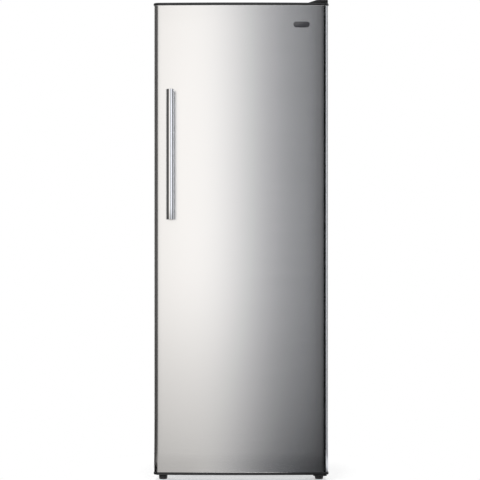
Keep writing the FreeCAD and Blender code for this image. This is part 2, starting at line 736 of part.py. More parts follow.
# The condenser is one long bent tube with wires welded across its outer side.
RETURN_X, DRIER_Y = "-coil_half - 16", "back_y - 34"
coil_points = [("coil_half", "coil_y", "coil_bottom - 40")]
for run in range(COIL_PASSES):
    level = "coil_bottom + %d * coil_pitch" % run
    ends = ["coil_half", "-coil_half"]
    if run % 2:
        ends.reverse()
    coil_points += [(end, "coil_y", level) for end in ends]
coil_points[-1] = (RETURN_X, "coil_y", "coil_bottom + %d * coil_pitch" % (COIL_PASSES - 1))
coil_points += [(RETURN_X, "coil_y", "bay_top - 30"), (RETURN_X, DRIER_Y, "bay_top - 30"),
                (RETURN_X, DRIER_Y, "bay_top - 80")]
coil_pieces = [tube(coil_points, "coil_radius", "12")]
wire_low = number("coil_bottom") - 8
wire_length = number("%d * coil_pitch" % (COIL_PASSES - 1)) + 16
wire_reach = number("coil_half") - 24
wire_y = number("coil_y + coil_radius + coil_wire_radius")
for wire in range(COIL_WIRES):
    foot = FreeCAD.Vector(wire_reach * (2 * wire / (COIL_WIRES - 1) - 1), wire_y, wire_low)
    coil_pieces.append(Part.makeCylinder(number("coil_wire_radius"), wire_length, foot))
node("condenser_coil", drawn(Part.makeCompound(coil_pieces)))


def coil_bracket(side, height):
    middle = bracket_x(side)
    plate = box(middle + " - 9", middle + " + 9", "back_y", "back_y + 2", height + " - 24", height + " + 12")
    arm = box(middle + " - 4", middle + " + 4", "back_y + 1", "coil_y - coil_radius - seat_gap",
              height + " - 5", height + " + 5")
    hole = rod(middle, "back_y - 1", height + " - 14", "Y", "4", "screw_radius + fit_gap")
    return cut(join(plate, arm), hole)


node("condenser_brackets", group(*[coil_bracket(side, height) for side, height in BRACKETS]))
node("filter_drier", turned(corners(
    ("0", "0"), ("3", "0"), ("9", "12"), ("9", "78"), ("3", "90"), ("0", "90")),
    RETURN_X, DRIER_Y, "bay_top - 80.3 - 90"))
DRIER_FOOT = "bay_top - 170.6"
node("capillary_tube", drawn(tube([
    (RETURN_X, DRIER_Y, DRIER_FOOT), (RETURN_X, DRIER_Y, DRIER_FOOT + " - 20"),
    (RETURN_X, "bay_front + 20", DRIER_FOOT + " - 20"), (RETURN_X, "bay_front + 20", "bay_top - 15"),
    (RETURN_X + " + 30", "bay_front + 20", "bay_top - 15"),
    (RETURN_X + " + 30", "bay_front + 20", "bay_top - 0.3")], "capillary_radius", "6")))
node("drain_tube", cut(
    rod("0", "step_front - 60", "cabinet_bottom - 12", "Z", "floor_wall + 12", "drain_radius"),
    rod("0", "step_front - 60", "cabinet_bottom - 13", "Z", "floor_wall + 14", "drain_radius - 1.5")))

# Feet: two screw feet at the front, two rollers on fixed axles at the back.
for side, label in ((1, "front_foot_right"), (-1, "front_foot_left")):
    node(label, turned(corners(
        ("0", "0"), ("foot_radius - 2", "0"), ("foot_radius - 0.5", "3"), ("foot_radius", "12"),
        ("foot_radius - 2", "16"), ("foot_stem_radius", "16"), ("foot_stem_radius", "cabinet_bottom + 18"),
        ("0", "cabinet_bottom + 18")), "%d * foot_x" % side, "foot_y", "0"))


def roller_bracket(side):
    middle = "%d * roller_x" % side
    half = "roller_width / 2"
    top = box("%s - %s - 3" % (middle, half), "%s + %s + 3" % (middle, half),
              "roller_y - 16", "roller_y + 16", "cabinet_bottom - 2", "cabinet_bottom")
    ears = [box("%s + %s" % (middle, low), "%s + %s" % (middle, high), "roller_y - 6", "roller_y + 6",
                "roller_radius - 6", "cabinet_bottom - 1")
            for low, high in ((half + " + 1", half + " + 3"), ("-%s - 3" % half, "-%s - 1" % half))]
    axle_hole = rod("%s - 20" % middle, "roller_y", "roller_radius", "X", "40", "axle_radius")
    return cut(join(top, *ears), axle_hole)


def axle(side):
    return rod("%d * roller_x - roller_width / 2 - 4" % side, "roller_y", "roller_radius", "X",
               "roller_width + 8", "axle_radius")


node("roller_brackets", group(*both_sides(roller_bracket)))
node("roller_axles", group(*both_sides(axle)))
for side, label in ((1, "rear_roller_right"), (-1, "rear_roller_left")):
    node(label, turned(corners(
        ("axle_radius + fit_gap", "0"), ("roller_radius - 1.5", "0"), ("roller_radius", "1.5"),
        ("roller_radius", "roller_width - 1.5"), ("roller_radius - 1.5", "roller_width"),
        ("axle_radius + fit_gap", "roller_width")),
        "%d * roller_x - roller_width / 2" % side, "roller_y", "roller_radius", "X"))


# Door: one bowed outline serves the skin, the foam and the end caps.
def door_outline(grow):
    """The door's section from back left round the bowed front to back right, grown outward."""
    side, corner = "half_width + (%s)" % grow, "(door_edge_radius + (%s))" % grow
    touch_x = "corner_x + %s * corner_x / bow_reach" % corner
    touch_y = "corner_y - %s * (bow_reach - door_bow) / bow_reach" % corner
    return [
        ("-(%s)" % side, "door_back", None), ("-(%s)" % side, "corner_y", None),
        ("-(%s)" % touch_x, touch_y, ("-corner_x", "corner_y", 1)),
        (touch_x, touch_y, ("0", "bow_y", 1)),
        (side, "corner_y", ("corner_x", "corner_y", 1)), (side, "door_back", None),
    ]


def returned(outline):
    """The same outline drawn the other way round."""
    points = [(x, y) for x, y, _ in outline]
    centres = [centre for _, _, centre in outline]
    back = [(*points[-1], None)]
    for index in range(len(points) - 2, -1, -1):
        centre = centres[index + 1]
        back.append((*points[index], (centre[0], centre[1], -1) if centre else None))
    return back


def pin_hole(bottom, top):
    return rod("pin_x", "pin_y", bottom, "Z", "(%s) - (%s)" % (top, bottom), "bushing_radius")


INSIDE = "-door_skin_gauge"
door_block = slab("XY_Plane", door_outline("0"), "skin_bottom", "skin_top")
HANDLE_X = "-handle_x"
POSTS = ["handle_bottom + post_inset", "handle_top - post_inset"]


def post_holes(radius, side=-1):
    return [rod("%d * handle_x" % side, "handle_face_y - 5", height, "Y", "door_edge_depth / 2", radius)
            for height in POSTS]


skin = slab("XY_Plane", door_outline("0") + returned(door_outline(INSIDE)), "skin_bottom", "skin_top")
node("door_skin", cut(skin, *post_holes("screw_radius"), *post_holes("plug_radius", 1)))
bushing_bed = [pin_hole("door_bottom - 1", "door_bottom + hinge_pin_reach + 6"),
               pin_hole("door_top - hinge_pin_reach - 6", "door_top + 1")]
foam = slab("XY_Plane", door_outline(INSIDE), "skin_bottom", "skin_top")
foam_back = box("-half_width", "half_width", "door_back - liner_gauge", "door_back + 1",
                "skin_bottom - 1", "skin_top + 1")
node("door_foam", cut(foam, foam_back, *bushing_bed, *post_holes("screw_radius * 2 + 1"),
                      *post_holes("plug_radius", 1)))
for label, low, high in (("door_cap_bottom", "door_bottom", "skin_bottom"),
                         ("door_cap_top", "skin_top", "door_top")):
    node(label, cut(slab("XY_Plane", door_outline("cap_lip"), low, high), *bushing_bed))


def bushing(bottom):
    return cut(pin_hole(bottom, bottom + " + hinge_pin_reach + 4"),
               rod("pin_x", "pin_y", bottom + " - 1", "Z", "hinge_pin_reach + 6", "hinge_pin_radius + fit_gap"))


node("door_bushings", group(bushing("door_bottom"), bushing("door_top - hinge_pin_reach - 4")))

# The door liner: a flat back with a raised ring around the bins and a shallow step lower down.
liner_plate = box("-half_width + door_skin_gauge", "half_width - door_skin_gauge",
                  "door_back - liner_gauge", "door_back", "skin_bottom", "skin_top")
ring_block = box("-dyke_half", "dyke_half", "door_back - 1", "door_back + dyke_depth",
                 "bins_bottom", "dyke_top")
low_pan = box("-dyke_half", "dyke_half", "door_back - 1", "door_back + pan_depth",
              "cavity_floor + dyke_clearance", "bins_bottom + 1")
recess = box("-recess_half", "recess_half", "door_back", "door_back + dyke_depth + 1",
             "bins_bottom + dyke_width", "dyke_top - dyke_width")
ring_hollow = cut(
    box("-dyke_half + liner_gauge", "dyke_half - liner_gauge", "door_back - liner_gauge - 1",
        "door_back + dyke_depth - liner_gauge", "bins_bottom + liner_gauge", "dyke_top - liner_gauge"),
    box("-recess_half - liner_gauge", "recess_half + liner_gauge", "door_back - liner_gauge - 2",
        "door_back + dyke_depth", "bins_bottom + dyke_width - liner_gauge",
        "dyke_top - dyke_width + liner_gauge"))
node("door_liner", cut(join(liner_plate, ring_block, low_pan), recess, ring_hollow))

GASKET_X = "half_width - gasket_inset"
GASKET_LOW, GASKET_HIGH = "door_bottom + gasket_inset", "door_top - gasket_inset"
node("door_gasket", cut(
    box("-(%s)" % GASKET_X, GASKET_X, "door_back", "front_y - seat_gap", GASKET_LOW, GASKET_HIGH),
    box("-(%s) + gasket_width" % GASKET_X, GASKET_X + " - gasket_width", "door_back - 1", "front_y + 1",
        GASKET_LOW + " + gasket_width", GASKET_HIGH + " - gasket_width")))

for index in range(BINS):
    low = "bins_bottom + dyke_width + bin_clearance + %d * shelf_step" % index
    outer = slab("XY_Plane", rounded("-recess_half + seat_gap", "recess_half - seat_gap",
                                     "door_back + seat_gap", "door_back + bin_depth", "bin_radius"),
                 low, low + " + bin_height")
    inner = slab("XY_Plane", rounded("-recess_half + seat_gap + bin_wall", "recess_half - seat_gap - bin_wall",
                                     "door_back + seat_gap + bin_wall", "door_back + bin_depth - bin_wall",
                                     "bin_radius - bin_wall"),
                 low + " + bin_wall", low + " + bin_height + 1")
    node("door_bin_%d" % (index + 1), cut(outer, inner))

# Handle: a round bar on two posts, each held by a screw from inside the skin.
bar = rod(HANDLE_X, "handle_y", "handle_bottom", "Z", "handle_length", "handle_radius")
node("handle_bar", bar)
node("handle_posts", group(*[
    cut(rod(HANDLE_X, "handle_y", height, "Y", "handle_radius + handle_reach + 4", "post_radius"),
        bar, door_block,
        rod(HANDLE_X, "handle_face_y - 16", height, "Y", "30", "screw_radius"))
    for height in POSTS]))
node("handle_screws", group(*[
    screw(HANDLE_X, "handle_face_y + door_skin_gauge + 1", height, "Y", "door_skin_gauge + 15")
    for height in POSTS]))
node("handle_plugs", group(*[
    rod("handle_x", "handle_face_y - 0.9", height, "Y", "2.5", "plug_radius") for height in POSTS]))

badge_ends = "(badge_width - badge_height) / 2"
badge_block = slab("XZ_Plane", [
    ("badge_x + " + badge_ends, "badge_z - badge_height / 2", None),
    ("badge_x + " + badge_ends, "badge_z + badge_height / 2", ("badge_x + " + badge_ends, "badge_z", 1)),
    ("badge_x - " + badge_ends, "badge_z + badge_height / 2", None),
    ("badge_x - " + badge_ends, "badge_z - badge_height / 2", ("badge_x - " + badge_ends, "badge_z", 1)),
], "door_edge_y - badge_thickness - door_bow / 2", "corner_y")
node("blank_badge", cut(badge_block, door_block))

doc.recompute()
for piece in doc.Objects:
    if "Invalid" in piece.State or "Error" in piece.State:
        raise ValueError("%s did not build: %s" % (piece.Label, piece.State))
os.makedirs("parts", exist_ok=True)
for piece in NODES:
    if piece.Shape.isNull() or not piece.Shape.isValid():
        raise ValueError(piece.Label + " has no valid shape")
for piece in NODES:
    piece.Shape.exportStep("parts/%s.step" % piece.Label)
print(len(NODES), "sub-parts written")
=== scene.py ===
import json
import math

import bmesh
import bpy
from mathutils import Matrix, Vector

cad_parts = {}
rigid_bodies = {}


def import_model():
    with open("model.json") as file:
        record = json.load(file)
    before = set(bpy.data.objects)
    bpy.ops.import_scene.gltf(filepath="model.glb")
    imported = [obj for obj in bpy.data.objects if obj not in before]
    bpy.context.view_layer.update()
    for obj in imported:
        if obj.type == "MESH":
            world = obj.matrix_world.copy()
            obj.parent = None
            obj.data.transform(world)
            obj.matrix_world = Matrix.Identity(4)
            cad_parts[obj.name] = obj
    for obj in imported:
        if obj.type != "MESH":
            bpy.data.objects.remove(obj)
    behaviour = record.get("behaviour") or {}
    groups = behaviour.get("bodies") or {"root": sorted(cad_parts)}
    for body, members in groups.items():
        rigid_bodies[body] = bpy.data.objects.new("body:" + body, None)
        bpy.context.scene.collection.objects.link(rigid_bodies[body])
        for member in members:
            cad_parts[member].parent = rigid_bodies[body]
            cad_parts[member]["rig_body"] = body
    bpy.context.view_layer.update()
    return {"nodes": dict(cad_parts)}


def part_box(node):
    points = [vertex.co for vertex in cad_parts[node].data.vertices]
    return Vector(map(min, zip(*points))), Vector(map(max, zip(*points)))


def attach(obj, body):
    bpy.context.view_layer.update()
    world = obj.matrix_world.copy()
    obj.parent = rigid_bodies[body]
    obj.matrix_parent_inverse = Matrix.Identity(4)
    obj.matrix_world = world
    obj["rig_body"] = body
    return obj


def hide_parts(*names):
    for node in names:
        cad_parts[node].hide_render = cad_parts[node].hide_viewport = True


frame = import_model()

# The studio: a pale floor that runs out into white, soft lamps, and a curved gradient sweep in front.
# The sweep shows in gloss alone, as a photographer's graded paper does in steel: bright and a shade
# warm on the left of the camera, dark and a shade cool on its right. Two black flags, also seen in
# gloss alone, darken the door's rolled edges: one stands by the right edge, one lies by the left.
# The camera stands square to the door, at half its height.
CAMERA_DISTANCE = 6.0
CAMERA_HEIGHT = 0.829
VIEW_WIDTH = 1.638
VIEW_SIDE = -0.0038
FLOOR_RADIUS = 14.0
FLOOR_TONE = 0.9
FLOOR_LIFT = 0.45
FLOOR_FADE = (0.32, 0.62)
SWEEP_RADIUS = 3.0
SWEEP_HEIGHT = 3.4
SWEEP_START = 0.36
SWEEP_CLEARANCE = 0.003
SWEEP_REACH = 116
SWEEP_STEP = 4
SWEEP_CENTRE = 1.35
SWEEP_POWER = 1.7
SWEEP_FLOOR_RISE = 0.2
SIDE_RANGE = (-90, 90)
SIDE_LEVELS = ((-90, 0.08), (-62, 0.06), (-46, 0.065), (-32, 0.075), (-23, 0.12), (-14.5, 0.62), (-9, 0.84),
               (-6.5, 0.86), (-4.2, 0.93), (-2.4, 0.84), (0, 0.59), (2.3, 0.37), (4.7, 0.225), (7.1, 0.138),
               (8.3, 0.105), (9.6, 0.07), (12, 0.1), (15, 0.4), (18, 1.3), (25, 1.2), (30, 0.55), (42, 0.4),
               (56, 0.66), (66, 0.22), (80, 0.1), (90, 0.1))
HEIGHT_RANGE = (-0.5, 2.5)
HEIGHT_LEVELS = ((-0.5, 0.44), (-0.29, 0.54), (0.035, 0.68), (0.236, 0.79), (0.43, 0.91), (0.65, 1.0),
                 (1.6, 1.0), (2.1, 0.95))
WARM_SIDE = (-5, (1.03, 1.0, 0.975, 1))
COOL_SIDE = (6, (0.97, 0.995, 1.065, 1))
FLAG_CENTRE = Vector((0.289, -0.277, 0))
FLAG_START = 0.04
FLAG_REACH = 0.2
FLAG_HEIGHT = 1.8
FLAG_CLEARANCE = 0.005
FLAG_STEPS = 12
WORLD_LIGHT = 0.55
WHITE = (1, 1, 1, 1)

scene = bpy.context.scene
scene.view_settings.view_transform = "Standard"

camera_data = bpy.data.cameras.new("front_camera")
camera_data.sensor_width = 36.0
camera_data.lens = camera_data.sensor_width * CAMERA_DISTANCE / VIEW_WIDTH
camera_data.clip_end = 60.0
camera = bpy.data.objects.new("front_camera", camera_data)
scene.collection.objects.link(camera)
camera.location = (VIEW_SIDE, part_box("door_skin")[0].y - CAMERA_DISTANCE, CAMERA_HEIGHT)
camera.rotation_euler = (math.radians(90), 0, 0)
scene.camera = camera


def wire(tree, *links):
    """Join sockets of a node tree, each link given as (from, to)."""
    for source, target in links:
        tree.links.new(source, target)


def arithmetic(tree, operation, first, second):
    """A sum on two values, each a socket or a number."""
    step = tree.nodes.new("ShaderNodeMath")
    step.operation = operation
    for socket, value in zip(step.inputs, (first, second)):
        if isinstance(value, (int, float)):
            socket.default_value = value
        else:
            wire(tree, (value, socket))
    return step.outputs[0]


def seen_directly(tree):
    """One for what the camera sees straight, in gloss or through glass, and nought for other light."""
    path = tree.nodes.new("ShaderNodeLightPath")
    straight = arithmetic(tree, "MAXIMUM", path.outputs["Is Camera Ray"], path.outputs["Is Glossy Ray"])
    return arithmetic(tree, "MAXIMUM", straight, path.outputs["Is Transmission Ray"])


def levels(tree, source, low, high, stops):
    """A grey scale that runs through stops of (value, level) between two values of the source."""
    place = tree.nodes.new("ShaderNodeMapRange")
    place.inputs["From Min"].default_value = low
    place.inputs["From Max"].default_value = high
    ramp = tree.nodes.new("ShaderNodeValToRGB")
    while len(ramp.color_ramp.elements) < len(stops):
        ramp.color_ramp.elements.new(0.5)
    for element, (value, level) in zip(ramp.color_ramp.elements, stops):
        element.position = (value - low) / (high - low)
        element.color = (level, level, level, 1)
    wire(tree, (source, place.inputs["Value"]), (place.outputs["Result"], ramp.inputs["Fac"]))
    return ramp.outputs["Color"]


def floor_material():
    material = bpy.data.materials.new("studio_floor")
    material.use_nodes = True
    tree = material.node_tree
    tree.nodes.clear()
    out = tree.nodes.new("ShaderNodeOutputMaterial")
    matt = tree.nodes.new("ShaderNodeBsdfDiffuse")
    matt.inputs["Color"].default_value = (FLOOR_TONE, FLOOR_TONE, FLOOR_TONE, 1)
    lift = tree.nodes.new("ShaderNodeEmission")
    near = tree.nodes.new("ShaderNodeAddShader")
    seen = seen_directly(tree)
    bare = tree.nodes.new("ShaderNodeEmission")
    bare.inputs["Color"].default_value = WHITE
    coordinate = tree.nodes.new("ShaderNodeTexCoord")
    away = tree.nodes.new("ShaderNodeVectorMath")
    away.operation = "LENGTH"
    fade = tree.nodes.new("ShaderNodeMapRange")
    fade.interpolation_type = "SMOOTHSTEP"
    fade.inputs["From Min"].default_value, fade.inputs["From Max"].default_value = FLOOR_FADE
    mixed = tree.nodes.new("ShaderNodeMixShader")
    wire(tree, (coordinate.outputs["Object"], away.inputs[0]), (away.outputs["Value"], fade.inputs["Value"]),
         (arithmetic(tree, "MULTIPLY", fade.outputs["Result"], seen), mixed.inputs["Fac"]),
         (arithmetic(tree, "MULTIPLY", seen, FLOOR_LIFT), lift.inputs["Strength"]),
         (matt.outputs[0], near.inputs[0]), (lift.outputs[0], near.inputs[1]),
         (near.outputs[0], mixed.inputs[1]), (bare.outputs[0], mixed.inputs[2]),
         (mixed.outputs[0], out.inputs["Surface"]))
    return material


def stage_piece(name, shape, material):
    """Add a piece of the studio from a bmesh."""
    mesh = bpy.data.meshes.new(name)
    shape.to_mesh(mesh)
    shape.free()
    mesh.materials.append(material)
    piece = bpy.data.objects.new(name, mesh)
    scene.collection.objects.link(piece)
    return piece


floor_shape = bmesh.new()
bmesh.ops.create_circle(floor_shape, cap_ends=True, radius=FLOOR_RADIUS, segments=96)
stage_piece("studio_floor", floor_shape, floor_material())


def sweep_material():
    """Light graded by the bearing from a point behind the door, and by height, weaker along the floor."""
    material = bpy.data.materials.new("gradient_sweep")
    material.use_nodes = True
    tree = material.node_tree
    tree.nodes.clear()
    out = tree.nodes.new("ShaderNodeOutputMaterial")
    glow = tree.nodes.new("ShaderNodeEmission")
    coordinate = tree.nodes.new("ShaderNodeTexCoord")
    split = tree.nodes.new("ShaderNodeSeparateXYZ")
    wire(tree, (coordinate.outputs["Object"], split.inputs[0]))
    across, along, up = split.outputs
    forward = arithmetic(tree, "SUBTRACT", SWEEP_CENTRE, along)
    bearing = arithmetic(tree, "MULTIPLY", arithmetic(tree, "ARCTAN2", across, forward), 180 / math.pi)
    radius = arithmetic(tree, "SQRT", arithmetic(tree, "ADD", arithmetic(tree, "POWER", across, 2.0),
                                                 arithmetic(tree, "POWER", along, 2.0)), 0.0)
    inward = arithmetic(tree, "MULTIPLY", arithmetic(tree, "SUBTRACT", radius, SWEEP_RADIUS),
                        SWEEP_FLOOR_RISE)
    rise = arithmetic(tree, "ADD", up, inward)
    by_side = levels(tree, bearing, *SIDE_RANGE, SIDE_LEVELS)
    by_height = levels(tree, rise, *HEIGHT_RANGE, HEIGHT_LEVELS)
    strength = arithmetic(tree, "MULTIPLY", arithmetic(tree, "MULTIPLY", by_side, by_height), SWEEP_POWER)
    turning = tree.nodes.new("ShaderNodeMapRange")
    tint = tree.nodes.new("ShaderNodeMixRGB")
    turning.inputs["From Min"].default_value, tint.inputs["Color1"].default_value = WARM_SIDE
    turning.inputs["From Max"].default_value, tint.inputs["Color2"].default_value = COOL_SIDE
    wire(tree, (bearing, turning.inputs["Value"]), (turning.outputs["Result"], tint.inputs["Fac"]),
         (tint.outputs["Color"], glow.inputs["Color"]), (strength, glow.inputs["Strength"]),
         (glow.outputs[0], out.inputs["Surface"]))
    return material


sweep_shape = bmesh.new()
sweep_columns = []
sweep_profile = ((SWEEP_START, SWEEP_CLEARANCE), (SWEEP_RADIUS, SWEEP_CLEARANCE), (SWEEP_RADIUS, SWEEP_HEIGHT))
for degrees in range(-SWEEP_REACH, SWEEP_REACH + 1, SWEEP_STEP):
    turn = math.radians(degrees)
    sweep_columns.append([sweep_shape.verts.new((reach * math.sin(turn), -reach * math.cos(turn), height))
                          for reach, height in sweep_profile])
for left, right in zip(sweep_columns, sweep_columns[1:]):
    for step in range(2):
        sweep_shape.faces.new((left[step], right[step], right[step + 1], left[step + 1]))
sweep = stage_piece("gradient_sweep", sweep_shape, sweep_material())

flag_cloth = bpy.data.materials.new("flag_cloth")
flag_cloth.use_nodes = True
flag_cloth.node_tree.nodes["Principled BSDF"].inputs["Base Color"].default_value = (0, 0, 0, 1)
flag_cloth.node_tree.nodes["Principled BSDF"].inputs["Specular IOR Level"].default_value = 0


def flag(name, side, start, end, profile):
    """A black cloth round a door edge, through a profile of (reach, height), between two bearings."""
    shape = bmesh.new()
    columns = []
    for step in range(FLAG_STEPS + 1):
        turn = math.radians(start + (end - start) * step / FLAG_STEPS)
        columns.append([shape.verts.new((side * (FLAG_CENTRE.x + reach * math.sin(turn)),
                                         FLAG_CENTRE.y - reach * math.cos(turn), height))
                        for reach, height in profile])
    for left, right in zip(columns, columns[1:]):
        for low in range(len(profile) - 1):
            shape.faces.new((left[low], right[low], right[low + 1], left[low + 1]))
    return stage_piece(name, shape, flag_cloth)


standing_flag = flag("standing_flag", 1, 9, 68, (
    (FLAG_START, FLAG_CLEARANCE), (FLAG_REACH, FLAG_CLEARANCE), (FLAG_REACH, FLAG_HEIGHT)))
lying_flag = flag("lying_flag", -1, 38, 125, ((FLAG_START, FLAG_CLEARANCE), (FLAG_REACH * 1.5, FLAG_CLEARANCE)))
for piece in (sweep, standing_flag, lying_flag):
    piece.visible_camera = False
    piece.visible_diffuse = False
    piece.visible_transmission = False
    piece.visible_shadow = False


def lamp(name, place, aim, size, power):
    data = bpy.data.lights.new(name, "AREA")
    data.shape = "RECTANGLE"
    data.size, data.size_y = size
    data.energy = power
    light = bpy.data.objects.new(name, data)
    light.location = place
    light.rotation_euler = (Vector(aim) - Vector(place)).to_track_quat("-Z", "Y").to_euler()
    light.visible_camera = False
    light.visible_glossy = False
    scene.collection.objects.link(light)


lamp("overhead", (0, -1.2, 4.2), (0, 0, 0.8), (3.6, 3.0), 60)
lamp("left_bank", (-3.4, -3.6, 2.2), (0, 0, 0.9), (2.0, 3.0), 55)
lamp("right_fill", (3.8, -2.6, 1.8), (0, 0, 0.9), (1.6, 2.6), 20)
lamp("rear_fill", (0, 4.4, 2.4), (0, 0, 0.9), (3.0, 2.4), 40)

world = bpy.data.worlds.new("studio")
scene.world = world
world.use_nodes = True
world.node_tree.nodes.clear()
world_out = world.node_tree.nodes.new("ShaderNodeOutputWorld")
even = world.node_tree.nodes.new("ShaderNodeBackground")
even.inputs["Strength"].default_value = WORLD_LIGHT
even.inputs["Color"].default_value = WHITE
white = world.node_tree.nodes.new("ShaderNodeBackground")
white.inputs["Color"].default_value = WHITE
shown = world.node_tree.nodes.new("ShaderNodeMixShader")
wire(world.node_tree, (seen_directly(world.node_tree), shown.inputs["Fac"]), (even.outputs[0], shown.inputs[1]),
     (white.outputs[0], shown.inputs[2]), (shown.outputs[0], world_out.inputs["Surface"]))


# Cabinet wrapper: one sheet of steel with a satin dark paint, folded over both sides and the top.
# Its folds have a small bend radius, and its front edges tuck in behind the flange.
WRAPPER_FOLD = 0.002
SHEET = 0.0008
WRAPPER_STEPS = 8


def grain(tree, stretch, detail=6.0):
    """A noise stretched along a direction, in the piece's own metres."""
    coordinate = tree.nodes.new("ShaderNodeTexCoord")
    mapping = tree.nodes.new("ShaderNodeMapping")
    mapping.inputs["Scale"].default_value = stretch
    noise = tree.nodes.new("ShaderNodeTexNoise")
    noise.inputs["Scale"].default_value = 1.0
    noise.inputs["Detail"].default_value = detail
    wire(tree, (coordinate.outputs["Object"], mapping.inputs["Vector"]),
         (mapping.outputs["Vector"], noise.inputs["Vector"]))
    return noise.outputs["Fac"]


def ranged(tree, source, low, high):
    """A grey value spread between two numbers."""
    spread = tree.nodes.new("ShaderNodeMapRange")
    spread.inputs["From Min"].default_value = 0.3
    spread.inputs["From Max"].default_value = 0.7
    spread.inputs["To Min"].default_value = low
    spread.inputs["To Max"].default_value = high
    wire(tree, (source, spread.inputs["Value"]))
    return spread.outputs["Result"]


def relief(tree, shader, source, strength, depth):
    """Raise the surface a little by a grey value."""
    bump = tree.nodes.new("ShaderNodeBump")
    bump.inputs["Strength"].default_value = strength
    bump.inputs["Distance"].default_value = depth
    wire(tree, (source, bump.inputs["Height"]), (bump.outputs["Normal"], shader.inputs["Normal"]))


def shaded(name, colour, roughness, metallic=0.0):
    """A new material with its shader set to an even finish, ready for its detail."""
    material = bpy.data.materials.new(name)
    material.use_nodes = True
    shader = material.node_tree.nodes["Principled BSDF"]
    shader.inputs["Base Color"].default_value = (*colour, 1)
    shader.inputs["Roughness"].default_value = roughness
    shader.inputs["Metallic"].default_value = metallic
    return material, material.node_tree, shader


def tinted(tree, shader, source, dark, light):
    """Vary the base colour between two tints."""
    mix = tree.nodes.new("ShaderNodeMix")
    mix.data_type = "RGBA"
    mix.inputs["A"].default_value = (*dark, 1)
    mix.inputs["B"].default_value = (*light, 1)
    wire(tree, (source, mix.inputs["Factor"]), (mix.outputs["Result"], shader.inputs["Base Color"]))


def place(mesh, body, slot, material, *replaced):
    """Put a piece in the scene: it rides on a body and takes the given material; its slot argument is not used.
    """
    piece = bpy.data.objects.new(mesh.name, mesh)
    scene.collection.objects.link(piece)
    mesh.materials.clear()
    mesh.materials.append(material)
    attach(piece, body)
    if replaced:
        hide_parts(*replaced)
    return piece


def finish(mesh_name, shape):
    """Turn a bmesh into a smooth-shaded mesh with its faces turned outward."""
    bmesh.ops.recalc_face_normals(shape, faces=shape.faces)
    mesh = bpy.data.meshes.new(mesh_name)
    shape.to_mesh(mesh)
    shape.free()
    mesh.shade_smooth()
    return mesh


def ribbon(name, rows):
    """A sheet through rows of points, all rows with the same number of points."""
    shape = bmesh.new()
    made = [[shape.verts.new(point) for point in row] for row in rows]
    for lower, upper in zip(made, made[1:]):
        for a, b, c, d in zip(lower, lower[1:], upper[1:], upper):
            shape.faces.new((a, b, c, d))
    return finish(name, shape)


def crisp(piece, degrees=35):
    """Keep hard corners crisp under smooth shading."""
    split = piece.modifiers.new("corners", "EDGE_SPLIT")
    split.split_angle = math.radians(degrees)
    return piece


def walled(piece, thickness, offset=1.0):
    """Give a sheet its thickness."""
    gauge = piece.modifiers.new("gauge", "SOLIDIFY")
    gauge.thickness = thickness
    gauge.offset = offset
    return piece


def painted_steel():
    material, tree, shader = shaded("cabinet_paint", (0.035, 0.036, 0.038), 0.36)
    shader.inputs["Coat Weight"].default_value = 0.25
    shader.inputs["Coat Roughness"].default_value = 0.22
    peel = grain(tree, (420, 420, 420), 3.0)
    haze = ranged(tree, grain(tree, (9, 9, 9)), 0, 1)
    tinted(tree, shader, haze, (0.031, 0.032, 0.034), (0.040, 0.041, 0.043))
    wire(tree, (ranged(tree, peel, 0.30, 0.42), shader.inputs["Roughness"]))
    relief(tree, shader, peel, 0.16, 0.0004)
    return material


def arc(centre_x, centre_y, radius, start, end, steps=6):
    """Points of an arc, its angles in degrees."""
    turns = [math.radians(start + (end - start) * step / steps) for step in range(steps + 1)]
    return [(centre_x + radius * math.cos(turn), centre_y + radius * math.sin(turn)) for turn in turns]


cabinet_paint = painted_steel()
wrap_low, wrap_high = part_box("cabinet_wrapper")
wrapper_line = [(wrap_low.x, wrap_low.z), (wrap_low.x, wrap_low.z + 0.3), (wrap_low.x, wrap_high.z - 0.3)]
wrapper_line += arc(wrap_low.x + WRAPPER_FOLD, wrap_high.z - WRAPPER_FOLD, WRAPPER_FOLD, 180, 90)
wrapper_line += [(-x, z) for x, z in reversed(wrapper_line)]
wrapper_depth = wrap_high.y - wrap_low.y
wrapper_rows = [[(x, wrap_low.y + wrapper_depth * step / WRAPPER_STEPS, z) for x, z in wrapper_line]
                for step in range(WRAPPER_STEPS + 1)]
wrapper = place(ribbon("cabinet_wrapper_sheet", wrapper_rows), "cabinet", "cabinet_paint", cabinet_paint,
                "cabinet_wrapper")
walled(wrapper, SHEET, -1.0)


# Front flange: a flat painted steel frame round the cabinet's mouth. The door's gasket grips it,
# and its opening has the same round corners as the liner that it holds.
LINER_CORNER = 0.014
LINER_GAUGE = 0.002
FLANGE_CORNER = 0.0015


def dress(material, *names):
    """Give CAD nodes that keep their shape a finish."""
    for name in names:
        for held in frame["nodes"][name].material_slots:
            held.material = material


def round_frame(low_x, high_x, low_z, high_z, radius, steps=6):
    """Points of a rectangle with round corners, seen from the front."""
    centres = ((high_x - radius, low_z + radius, -90), (high_x - radius, high_z - radius, 0),
               (low_x + radius, high_z - radius, 90), (low_x + radius, low_z + radius, 180))
    return [point for x, z, start in centres for point in arc(x, z, radius, start, start + 90, steps)]


def rings(name, rows, capped=(False, False), looped=False):
    """A form through closed rings of points, with a face over its first and last ring if capped."""
    shape = bmesh.new()
    made = [[shape.verts.new(point) for point in row] for row in rows]
    followers = made[1:] + made[:1] if looped else made[1:]
    for lower, upper in zip(made, followers):
        for index in range(len(lower)):
            after = (index + 1) % len(lower)
            shape.faces.new((lower[index], lower[after], upper[after], upper[index]))
    if capped[0]:
        shape.faces.new(made[0][::-1])
    if capped[1]:
        shape.faces.new(made[-1])
    return finish(name, shape)


def upright(points, y):
    """Front-view points at a depth."""
    return [(x, y, z) for x, z in points]


